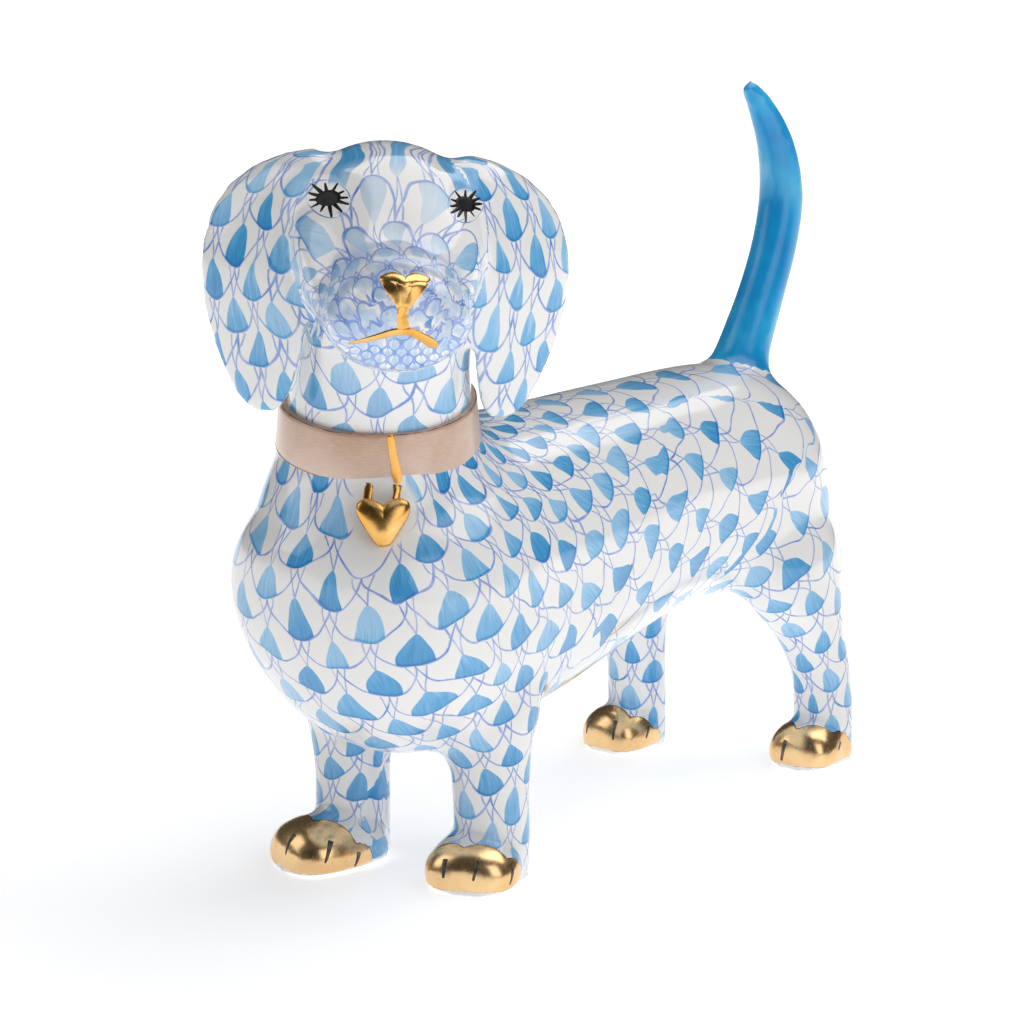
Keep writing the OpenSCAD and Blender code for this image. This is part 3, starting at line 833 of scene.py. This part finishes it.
# the brow is painted in paler blue and the muzzle has a thin blue wash
on_skull = place_label == SKULL
front = on_skull * np.clip((-2 - by_head[:, 1]) / 4, 0, 1)
upper = np.clip((by_head[:, 2] + 3) / 4, 0, 1)
middle = np.clip((7.5 - np.abs(by_head[:, 0])) / 2.5, 0, 1)
drop_strength = 1 - front * (0.22 + 0.36 * upper * middle)
drop_strength *= 1 - 0.55 * on_skull * np.clip((-18 - by_head[:, 1]) / 3, 0, 1)
wash = on_skull * np.clip((-11 - by_head[:, 1]) / 4, 0, 1) * 0.85
point_values = {"drop_strength": drop_strength, "wash": wash, "bare": bare, "column_width": wide,
    "row_height": pitch_all}


def build(name, co, faces, corner_uv, corner_normal, values, face_values):
    mesh = bpy.data.meshes.new(name)
    mesh.from_pydata((co * MM).tolist(), [], faces.tolist())
    mesh.uv_layers.new(name="net").data.foreach_set("uv", corner_uv.ravel())
    for key, v in values.items():
        mesh.attributes.new(key, "FLOAT", "POINT").data.foreach_set("value", v)
    for key, v in face_values.items():
        mesh.attributes.new(key, "FLOAT", "FACE").data.foreach_set("value", v)
    mesh.polygons.foreach_set("use_smooth", np.ones(len(faces), bool))
    mesh.update()
    mesh.normals_split_custom_set(corner_normal.reshape(-1, 3).tolist())
    piece = bpy.data.objects.new(name, mesh)
    bpy.context.scene.collection.objects.link(piece)
    return piece


def open_edges(faces):
    # edges with a triangle on one side only
    a = np.concatenate([faces[:, 0], faces[:, 1], faces[:, 2]])
    b = np.concatenate([faces[:, 1], faces[:, 2], faces[:, 0]])
    known = set(zip(a.tolist(), b.tolist()))
    return [(x, y) for x, y in known if (y, x) not in known]


def close_rims(faces, co):
    # a fan over every open rim, round the middle of the rim
    ways = {}
    for x, y in open_edges(faces):
        ways.setdefault(y, []).append(x)
    fans, centres = [], []
    while ways:
        start = next(iter(ways))
        loop = [start]
        while True:
            options = ways[loop[-1]]
            following = options.pop()
            if not options:
                del ways[loop[-1]]
            if following == start:
                break
            loop.append(following)
        middle = len(co) + len(centres)
        centres.append(co[loop].mean(axis=0))
        fans += [(x, y, middle) for x, y in zip(loop, loop[1:] + loop[:1])]
    return np.array(fans, int).reshape(-1, 3), np.array(centres).reshape(-1, 3)


def put_down(k, material):
    # casting k gets its own closed piece of the skin
    chosen = np.flatnonzero(face_label == k)
    used, local = np.unique(tris[chosen], return_inverse=True)
    local = local.reshape(-1, 3)
    co = points[used]
    fans, centres = close_rims(local, co)
    faces = np.concatenate([local, fans])
    all_co = np.concatenate([co, centres])
    corner_uv = np.concatenate([uv[chosen], np.zeros((len(fans), 3, 2))])
    flat = np.cross(all_co[fans[:, 1]] - all_co[fans[:, 0]],
        all_co[fans[:, 2]] - all_co[fans[:, 0]])
    flat = flat / (np.linalg.norm(flat, axis=1)[:, None] + 1e-9)
    corner_normal = np.concatenate([normals[tris[chosen]], np.repeat(flat[:, None], 3, axis=1)])
    values = {key: np.concatenate([v[used], np.ones(len(centres))])
        for key, v in point_values.items()}
    face_values = {key: np.concatenate([v[chosen], np.zeros(len(fans))])
        for key, v in chance.items()}
    piece = build(CASTINGS[k] + "_skin", all_co, faces, corner_uv, corner_normal, values,
        face_values)
    piece.data.materials.append(material)
    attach(piece, "root")
    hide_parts(CASTINGS[k])


bpy.data.objects.remove(clay)
for k in (TORSO, SKULL, *LEGS):
    put_down(k, porcelain)

# ---- ears -------------------------------------------------------------------------------
# Pressed flaps luted on the skull. The outside is painted like the coat. The side that lies
# against the cheek has a plain green-white glaze behind a blue border line.
EAR_FACING = np.array([math.cos(math.radians(56)), -math.sin(math.radians(56)), 0])
facing = normals @ np.array(HEAD)[:3, :3]
facing[:, 0] *= np.where(by_head[:, 0] > 0, 1, -1)
ear_outside = np.clip(0.25 + 1.9 * (facing @ EAR_FACING), 0, 1)
# the root of the ear is painted all round
ear_outside = np.maximum(ear_outside, np.clip((by_head[:, 2] - 5) / 2, 0, 1))
point_values["ear_outside"] = ear_outside
ear_paint, w, skin = new_material("ear_porcelain")
net_node = w.node("ShaderNodeGroup")
net_node.node_tree = bpy.data.node_groups["fish_net"]
outer = w.attribute("ear_outside")
painted = w.ramp(outer, 0.42, 0.5)
w.feed(net_node.inputs["Drops"], painted)
w.feed(net_node.inputs["Lines"], painted)
w.feed(net_node.inputs["Ground"], w.mix(painted, shade("D6E6E1"), shade("F3F3F1")))
border = w.ramp(w.math("ABSOLUTE", w.sub(outer, 0.46)), 0.05, 0.12, 0.8, 0.0)
w.feed(skin["Base Color"], w.mix(border, net_node.outputs["Colour"], shade("5E93DA")))
clear_glaze(skin, 0.16, 0.5)
for k in (LEFT_EAR, RIGHT_EAR):
    put_down(k, ear_paint)

# ---- tail -------------------------------------------------------------------------------
# A solid tail luted upright on the rump. It is washed in one strong blue, brushed along its
# length, and the blue stops in a clean line at the root.
tail_blue, w, skin = new_material("tail_blue")
place = w.place()
split = w.node("ShaderNodeSeparateXYZ")
w.feed(split.inputs[0], place)
along = w.node("ShaderNodeMapping")
w.feed(along.inputs[0], place)
along.inputs[3].default_value = (900, 420, 120)
brush = w.noise(along.outputs[0], 1.0, 3.0, 0.6)
broad = w.noise(place, 110.0, 2.0)
tone = w.add(w.mul(w.sub(brush, 0.5), 0.7), w.mul(w.sub(broad, 0.5), 1.6))
wash_blue = w.tones(w.add(tone, 0.55), "74C8EC", ((0.35, "2AACE2"), (0.62, "0A9ADA")), "0784C8")
root = w.ramp(w.add(split.outputs[2], w.mul(w.sub(broad, 0.5), 0.002)), 0.0572, 0.0582)
w.feed(skin["Base Color"], w.mix(root, shade("F2F3F4"), wash_blue))
clear_glaze(skin, 0.3, 0.25)
put_down(TAIL, tail_blue)

# ---- nose and mouth gilding -------------------------------------------------------------
# Liquid gold is drawn with a brush on the fired glaze and burnished: the heart-shaped nose
# leather, the two arms below it, the parting and the lip. Each stroke is a thin raised
# ribbon that follows the skin and thins out at its ends.
skin_tree = BVHTree.FromPolygons([Vector(p) for p in points.tolist()], tris.tolist())


def from_frame(place, p):
    m = np.array(place)
    return np.asarray(p, float) @ m[:3, :3].T + m[:3, 3]


def on_skin(p):
    spot, _, face, _ = skin_tree.find_nearest(Vector(p))
    share = normals[tris[face]]
    corner = points[tris[face]]
    weight = 1 / (np.linalg.norm(corner - np.array(spot), axis=1) + 0.02)
    up = (share * weight[:, None]).sum(axis=0)
    return np.array(spot), up / np.linalg.norm(up)


def curve(path, steps):
    # an even curve through given places
    path = np.asarray(path, float)
    out = []
    for k in range(len(path) - 1):
        a, b, c, d = (path[min(max(k + n, 0), len(path) - 1)] for n in (-1, 0, 1, 2))
        for t in np.arange(steps) / steps:
            out.append(0.5 * (2 * b + (c - a) * t + (2 * a - 5 * b + 4 * c - d) * t * t
                + (3 * b - a - 3 * c + d) * t ** 3))
    return np.array(out + [path[-1]])


def ribbon(centres, half, thick, across=8, snap=True, up=None, sink=0.12, lift=0.0):
    # closed ribbon: rounded top, flat back sunk a little into what it lies on
    rows = len(centres)
    way = np.gradient(centres, axis=0)
    way /= np.linalg.norm(way, axis=1)[:, None] + 1e-9
    verts = []
    for k in range(rows):
        spot, normal = on_skin(centres[k]) if snap else (centres[k], up[k])
        beside = np.cross(way[k], normal)
        beside /= np.linalg.norm(beside)
        ends = min(1, math.sqrt(max(0, 1 - abs(2 * k / (rows - 1) - 1) ** 6)) + 0.05)
        top, back = [], []
        for s in np.sin(np.linspace(-1, 1, across + 1) * math.pi / 2):
            p = spot + beside * s * half[k]
            q, n = on_skin(p) if snap else (p, normal)
            top.append(q + n * (thick * ends * math.sqrt(max(0, 1 - s * s)) - 0.015 + lift))
            back.append(q - n * sink)
        verts += top + back[::-1]
    ring = 2 * (across + 1)
    faces = []
    for k in range(rows - 1):
        for j in range(ring):
            a, b = k * ring + j, k * ring + (j + 1) % ring
            faces += [(a, b, b + ring), (a, b + ring, a + ring)]
    for base, flip in ((0, True), ((rows - 1) * ring, False)):
        for j in range(across):
            a, b, c, d = base + j, base + j + 1, base + ring - 2 - j, base + ring - 1 - j
            two = [(a, b, c), (a, c, d)]
            faces += [f[::-1] for f in two] if flip else two
    return np.array(verts), np.array(faces)


def make_piece(name, parts, material, node):
    # several closed parts become one piece; faces are turned outward
    verts, faces, start = [], [], 0
    for v, f in parts:
        verts.append(v)
        faces.append(f + start)
        start += len(v)
    verts, faces = np.concatenate(verts), np.concatenate(faces)
    mesh = bpy.data.meshes.new(name)
    mesh.from_pydata((verts * MM).tolist(), [], faces.tolist())
    piece = bpy.data.objects.new(name, mesh)
    bpy.context.scene.collection.objects.link(piece)
    alone(piece)
    bpy.ops.object.mode_set(mode="EDIT")
    bpy.ops.mesh.select_all(action="SELECT")
    bpy.ops.mesh.normals_make_consistent(inside=False)
    bpy.ops.object.mode_set(mode="OBJECT")
    bpy.ops.object.shade_smooth_by_angle(angle=math.radians(60))
    mesh.materials.append(material)
    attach(piece, "root")
    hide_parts(node)
    return piece


# burnished gold with faint brush marks
gold, w, skin = new_material("burnished_gold")
place = w.place()
marks = w.noise(place, 900.0, 3.0, 0.6)
patch = w.noise(place, 160.0, 2.0)
w.feed(skin["Base Color"], w.mix(w.ramp(patch, 0.35, 0.65), shade("DFA551"), shade("F0C27C")))
skin["Metallic"].default_value = 1.0
w.feed(skin["Roughness"], w.add(0.18, w.mul(marks, 0.16)))
bump = w.node("ShaderNodeBump")
bump.inputs["Strength"].default_value = 0.12
bump.inputs["Distance"].default_value = 0.0002
w.feed(bump.inputs["Height"], w.noise(place, 330.0, 2.0))
w.feed(skin["Normal"], bump.outputs[0])


def stroke(place, path, thick=0.09, steps=6, across=8, lift=0.0):
    line = curve(path, steps)
    return ribbon(from_frame(place, line[:, :3]), line[:, 3], thick, across, lift=lift)


nose = [stroke(HEAD, [(-2.75, -23.8, -1.2, 0.3), (-2.1, -24.1, -1.1, 0.85),
    (-1.25, -24.1, -1.05, 1.0), (-0.4, -24.5, -1.5, 0.72), (0.15, -24.7, -1.75, 0.55),
    (0.7, -24.5, -1.45, 0.72), (1.6, -24.0, -1.0, 1.0), (2.5, -23.8, -1.0, 0.85),
    (3.1, -23.4, -1.1, 0.3)], 0.22, 8, 12),
    stroke(HEAD, [(-2.35, -24.3, -1.4, 0.4), (-1.5, -24.9, -2.1, 0.78),
    (-0.6, -25.4, -3.1, 0.8), (0, -25.7, -4.3, 0.72)], 0.12),
    stroke(HEAD, [(2.65, -24.2, -1.35, 0.4), (1.7, -24.9, -2.1, 0.78),
    (0.7, -25.4, -3.1, 0.8), (0.1, -25.7, -4.3, 0.72)], 0.12),
    stroke(HEAD, [(0.1, -24.7, -1.8, 1.3), (0.05, -25.4, -3.0, 1.1), (0, -25.8, -4.4, 0.74)],
    0.12)]
make_piece("nose_gold", nose, gold, "nose_gilding")
mouth = [stroke(HEAD, [(0, -25.7, -3.8, 0.7), (-0.02, -25.8, -5.0, 0.7),
    (0, -25.8, -6.2, 0.72), (0.15, -25.6, -7.05, 0.85)], 0.12),
    stroke(HEAD, [(-6.1, -23.2, -9.05, 0.14), (-4.6, -24.45, -8.55, 0.3),
    (-3, -25.15, -7.98, 0.36), (-1.4, -25.5, -7.4, 0.45), (0.17, -25.63, -7.1, 0.5),
    (1.3, -25.55, -7.25, 0.5), (2.65, -25.2, -7.9, 0.56), (3.6, -24.8, -8.5, 0.62),
    (4.35, -24.3, -9.0, 0.3)], 0.13)]
make_piece("mouth_gold", mouth, gold, "mouth_gilding")

# ---- eyes -------------------------------------------------------------------------------
# Each eye is painted in black enamel: a round pupil with a dozen lashes round it, inside a
# fine blue oval. The two are not quite alike, as the hand made them.
black, w, skin = new_material("black_enamel")
place = w.place()
w.feed(skin["Base Color"], w.mix(w.ramp(w.noise(place, 1600.0, 2.0), 0.4, 0.75),
    shade("050405"), shade("151213")))
skin["Roughness"].default_value = 0.3
skin["Specular IOR Level"].default_value = 0.25
skin["Coat Weight"].default_value = 0.04

eye_blue, w, skin = new_material("eye_blue")
place = w.place()
w.feed(skin["Base Color"], w.mix(w.noise(place, 900.0, 2.0), shade("4C7FCB"), shade("86A8DE")))
skin["Roughness"].default_value = 0.2


def on_face(x, z):
    start = from_frame(HEAD, (x, -40, z))
    way = np.array(HEAD)[:3, 1]
    spot = skin_tree.ray_cast(Vector(start), Vector(way))[0]
    return np.array(spot)


def eye_line(middle, half, angle, near, far, wide_in, wide_out, steps=5):
    out, width = [], []
    for t in np.linspace(0, 1, steps):
        r = near + (far - near) * t
        out.append(on_face(middle[0] + half[0] * r * math.cos(angle),
            middle[1] + half[1] * r * math.sin(angle)))
        width.append(wide_in + (wide_out - wide_in) * t)
    return ribbon(np.array(out), width, 0.06, 4)


for name, middle, half, lean in (("right_eye", (-7.95, 6.2), (2.5, 2.0), 0.2),
        ("left_eye", (9.1, 6.05), (2.35, 1.9), 0.0)):
    parts = []
    for k in range(12):
        angle = 2 * math.pi * (k + 0.25 * math.sin(k * 5.3)) / 12 + lean
        reach = 1.02 + 0.1 * math.sin(k * 3.7)
        parts.append(eye_line(middle, half, angle, 0.3, reach, 0.34, 0.14))
    spots = [on_face(middle[0] + t * half[0], middle[1]) for t in np.linspace(-0.56, 0.56, 13)]
    width = [half[1] * 0.6 * math.sqrt(max(0.02, 1 - (t / 0.57) ** 2))
        for t in np.linspace(-0.56, 0.56, 13)]
    parts.append(ribbon(np.array(spots), width, 0.1, 8))
    make_piece(name + "_lashes", parts, black, name)
    loop = np.linspace(0, 2 * math.pi, 49)
    spots = [on_face(middle[0] + half[0] * 1.04 * math.cos(a), middle[1] + half[1] * 1.04
        * math.sin(a)) for a in loop]
    width = [0.07 + 0.05 * math.sin(3 * a + 1) for a in loop]
    make_piece(name + "_outline", [ribbon(np.array(spots), width, 0.03, 4)], eye_blue, name)

# ---- gilded paws ------------------------------------------------------------------------
# The toes of every paw are dipped in gold with a scalloped upper border, one lobe for each
# toe, and a fine brown edge. Short grey strokes mark the gaps between the toes.
# Per paw: place and turn, lobes as x, y, z, reach, and strokes as x, y, z, half width.
PAWS = {
    "front_left": ((7.11, -26.63, 26), [(-2.6, -6.8, 1.9, 4.7), (1.9, -7.1, 2.1, 4.7),
        (5.2, -4.6, 1.6, 2.9), (-5.2, -4.4, 1.6, 2.8)],
        [[(-2.6, -7.0, 4.6, 0.42), (-2.7, -7.8, 2.2, 0.2)],
        [(1.9, -7.1, 4.7, 0.36), (1.3, -8.0, 2.2, 0.15)],
        [(5.8, -4.9, 3.3, 0.36), (5.6, -5.8, 1.3, 0.15)]]),
    "front_right": ((-12.49, -33.83, -16), [(-1, -6, 2, 5.5), (3, -3.6, 2, 5.0),
        (5, 0.3, 1.4, 2.6), (-4.5, -3.5, 1.8, 4.2)],
        [[(1.4, -6.7, 5.3, 0.42), (1.1, -7.9, 2.6, 0.16)],
        [(5.1, -3.4, 4.8, 0.42), (6.0, -4.9, 2.2, 0.16)],
        [(5.9, 0.4, 2.8, 0.42), (5.6, -0.2, 0.9, 0.18)],
        [(-4.2, -5.0, 4.6, 0.42), (-5.0, -6.2, 2.2, 0.16)]]),
    "rear_left": ((8.91, 48.37, 8), [(-2.6, -4.6, 2, 4.6), (2.2, -4.4, 2, 4.5),
        (4.4, -0.8, 2, 3.2), (4.4, 1.8, 1.2, 2.2)],
        [[(-1.3, -6.2, 4.3, 0.4), (-1.8, -6.6, 1.1, 0.22)],
        [(2.4, -5.7, 4.4, 0.26), (2.4, -6.3, 3.3, 0.14)],
        [(4.9, -0.5, 3.6, 0.32), (5.1, -1.9, 2.6, 0.16)]]),
    "rear_right": ((-17.69, 37.37, -4), [(0.2, -4.6, 2, 4.9), (3.4, -2.6, 2, 3.5),
        (4.2, 0.4, 1.2, 2.2), (-3, -3.4, 2, 4.0)],
        [[(2.3, -5.3, 5.1, 0.38), (2.7, -6.3, 2.3, 0.18)],
        [(4.8, -0.6, 3.8, 0.34), (5.2, -1.8, 2.2, 0.16)],
        [(-2.2, -5.2, 4.8, 0.36), (-2.6, -6.1, 2.3, 0.16)]])}

grey, w, skin = new_material("grey_enamel")
place = w.place()
w.feed(skin["Base Color"], w.mix(w.ramp(w.noise(place, 1100.0, 2.0), 0.35, 0.7),
    shade("34302B"), shade("6E6250")))
skin["Roughness"].default_value = 0.3
skin["Coat Weight"].default_value = 0.3


# on the paws the gold is paler, a painted reflection of the white table below them, and brown where it
# thins out at its border
paw_gold = gold.copy()
paw_gold.name = "paw_gold"
w = Wires(paw_gold.node_tree)
skin = paw_gold.node_tree.nodes["Principled BSDF"].inputs
before = skin["Base Color"].links[0].from_socket
edge = w.ramp(w.attribute("inside_mm"), 0.0, 0.22, 1.0, 0.0)
gold_with_table_reflection = w.mix(0.5, before, shade("FFE0B4"))
w.feed(skin["Base Color"], w.mix(edge, gold_with_table_reflection, shade("7A4A1C")))

for name, ((px, py, turn), toes, marks) in PAWS.items():
    frame_paw = Matrix.Translation((px, py, 0)) @ Matrix.Rotation(math.radians(turn), 4, "Z")
    local = into(frame_paw, points)
    toes = np.array(toes)
    reach = (toes[:, 3] - np.linalg.norm(local[:, None] - toes[:, :3], axis=2)).max(axis=1)
    reach = np.minimum(reach, (local[:, 2] - 0.55) * 1.2)
    k = CASTINGS.index(name + "_leg")
    chosen = np.flatnonzero((face_label == k) & (reach[tris] > -0.9).any(axis=1))
    used, faces = np.unique(tris[chosen], return_inverse=True)
    faces = faces.reshape(-1, 3)
    top = points[used] + normals[used] * np.clip(reach[used] * 0.35, -0.12, 0.07)[:, None]
    back = points[used] - normals[used] * 0.3
    n = len(used)
    walls = [f for x, y in open_edges(faces) for f in ((y, x, x + n), (y, x + n, y + n))]
    closed = np.concatenate([faces, faces[:, ::-1] + n, np.array(walls)])
    piece = make_piece(name + "_paw_gold", [(np.concatenate([top, back]), closed)], paw_gold,
        name + "_paw_gilding")
    piece.data.attributes.new("inside_mm", "FLOAT", "POINT").data.foreach_set("value",
        np.concatenate([reach[used], reach[used]]))
    make_piece(name + "_toe_strokes", [stroke(frame_paw, np.array(m), 0.08, 8, 6, 0.075)
        for m in marks], grey, name + "_toe_lines")

# ---- collar -----------------------------------------------------------------------------
# A raised band round the neck, painted in tan enamel with long brush strokes and edged at
# the top and the bottom with a fine brown line.
tan, w, skin = new_material("tan_enamel")
place = w.place()
map_node = w.node("ShaderNodeUVMap", uv_map="band")
split = w.node("ShaderNodeSeparateXYZ")
w.feed(split.inputs[0], map_node.outputs[0])
hair = w.vector(w.mul(split.outputs[0], 9.0), w.mul(split.outputs[1], 55.0), 0.0)
strokes = w.noise(hair, 1.0, 3.0, 0.65)
patch = w.noise(place, 170.0, 2.0)
tone = w.add(w.add(w.mul(strokes, 0.75), w.mul(patch, 0.75)), w.mul(split.outputs[1], 0.32))
w.feed(skin["Base Color"], w.tones(w.sub(tone, 0.42), "EBD5C6", ((0.5, "D6B6A0"),), "B38A70"))
skin["Roughness"].default_value = 0.3
skin["Coat Weight"].default_value = 0.3
skin["Coat Roughness"].default_value = 0.1

ROUND = 160
# section of the band as radius and height, from the top inner edge down
profile = [(11.6, 3.1), (12.45, 3.2), (12.68, 3.05), (12.78, 2.6), (12.9, 1.2), (13.02, -0.4),
    (13.15, -1.8), (13.28, -2.7), (13.25, -3.05), (13.05, -3.2), (11.6, -3.1)]


def lathe(profile, place, wave=0.0):
    co, faces = [], []
    n = len(profile)
    for k in range(ROUND):
        a = 2 * math.pi * k / ROUND
        push = wave * (math.sin(3 * a + 1) + 0.6 * math.sin(7 * a))
        co += [(r * math.cos(a), r * math.sin(a), z + push) for r, z in profile]
    for k in range(ROUND):
        for j in range(n):
            a, b = k * n + j, k * n + (j + 1) % n
            c, d = (k + 1) % ROUND * n + (j + 1) % n, (k + 1) % ROUND * n + j
            faces += [(a, b, c), (a, c, d)]
    return from_frame(place, co), np.array(faces)


band = make_piece("collar_band", [lathe(profile, COLLAR, 0.05)], tan, "collar")
layer = band.data.uv_layers.new(name="band")
n = len(profile)
vert = np.empty(len(band.data.loops), int)
band.data.loops.foreach_get("vertex_index", vert)
turn = (vert // n).reshape(-1, 3)
turn = np.where((turn.max(axis=1) - turn.min(axis=1) > ROUND / 2)[:, None] & (turn < ROUND / 2),
    turn + ROUND, turn).ravel() / ROUND
high = (np.array([z for r, z in profile])[vert % n] + 3.2) / 6.4
layer.data.foreach_set("uv", np.stack([turn * 8, high], axis=1).ravel())

brown, w, skin = new_material("brown_enamel")
place = w.place()
w.feed(skin["Base Color"], w.mix(w.ramp(w.noise(place, 420.0, 3.0), 0.38, 0.62),
    shade("6B4A38"), shade("B28D77")))
skin["Roughness"].default_value = 0.3
thread = [(0.09 * math.cos(a), 0.09 * math.sin(a)) for a in np.arange(8) * math.pi / 4]
make_piece("collar_edge_threads", [
    lathe([(12.62 + r, 3.12 + z) for r, z in thread], COLLAR, 0.05),
    lathe([(13.2 + r, -3.14 + z) for r, z in thread], COLLAR, 0.05)],
    brown, "collar_edge_lines")

# ---- heart and its straps ---------------------------------------------------------------
# A puffed heart, pressed in clay and gilded all over, lies on the chest. Two gold straps
# rise from it to the collar, and the longer one is laid over the band.
TAG = (Matrix.Translation((-3.29, -34.23, 53.6)) @ Matrix.Rotation(math.radians(43), 4, "Z")
    @ Matrix.Translation((0.4, -15.5, 0)) @ Matrix.Rotation(math.radians(76), 4, "X"))
rim = curve(np.array([1, 0.9]) * [(0, -0.35), (0.55, 0.1), (1.4, 0.5), (2.4, 0.55), (3.2, 0.0),
    (3.4, -0.95), (3.1, -2.1), (2.6, -3.1), (1.9, -4.3), (1.25, -5.4), (0.7, -6.0), (0, -6.15)], 6)
rim = np.concatenate([rim, (rim * [-1, 1])[-2:0:-1]])
heart_mid = np.array([0, -2.4])
RINGS, PUFF = 14, 1.35                     # rings over the front, and its height
FRONT, BACK = 0.05, -0.65                  # where its edge and its back lie
co, faces = [], []
for k in range(RINGS + 1):
    t = k / RINGS
    for p in rim:
        q = heart_mid + (p - heart_mid) * math.sin(t * math.pi / 2)
        co.append((q[0], q[1], FRONT + PUFF * math.cos(t * math.pi / 2) ** 0.85))
m = len(rim)
for t in (1.0, 0.5, 0.02):
    co += [(*(heart_mid + (p - heart_mid) * t), BACK) for p in rim]
for k in range(RINGS + 3):
    for j in range(m):
        a, b = k * m + j, k * m + (j + 1) % m
        faces += [(a, b, b + m), (a, b + m, a + m)]
first = len(co)
co += [(*heart_mid, FRONT + PUFF), (*heart_mid, BACK)]
faces += [(j, first, (j + 1) % m) for j in range(m)]
last = (RINGS + 3) * m
faces += [(last + j, last + (j + 1) % m, first + 1) for j in range(m)]
make_piece("heart_charm", [(from_frame(TAG, co), np.array(faces))], gold, "heart_tag")

# the long strap and the short one, round the collar's axis: x, z and half width
straps = []
for path in ([(1.45, 3.25, 0.36), (1.5, 2.4, 0.5), (1.75, 0.6, 0.52), (2.1, -1.4, 0.6),
        (2.3, -3.0, 0.62), (2.25, -3.6, 0.55), (2.2, -4.1, 0.5), (2.0, -5.0, 0.55),
        (1.9, -6.0, 0.6)],
        [(-1.3, -2.9, 0.5), (-1.35, -3.6, 0.56), (-1.5, -4.6, 0.56), (-1.6, -5.8, 0.66)]):
    line = curve(path, 6)
    spots, ups = [], []
    for x, z, half in line:
        r = 13.05 - 0.11 * z
        y = -math.sqrt(r * r - x * x)
        if z < -3.2:
            # below the band the strap lies on the chest
            way = np.array(COLLAR)[:3, 1]
            hit = skin_tree.ray_cast(Vector(from_frame(COLLAR, (x, -40, z))), Vector(way))[0]
            y = min(y, into(COLLAR, np.array(hit)[None])[0, 1] - 0.02)
        spots.append((x, y, z))
        ups.append((x / r, y / r, 0.0))
    up = np.array(ups) @ np.array(COLLAR)[:3, :3].T
    straps.append(ribbon(from_frame(COLLAR, spots), line[:, 2], 0.22, 8, snap=False, up=up,
        sink=0.25))
make_piece("heart_straps", straps, gold, "tag_loops")

# ---- size of the finished figure --------------------------------------------------------
# The painted figure keeps the size of the bare castings. Its box is measured here.
low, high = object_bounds()
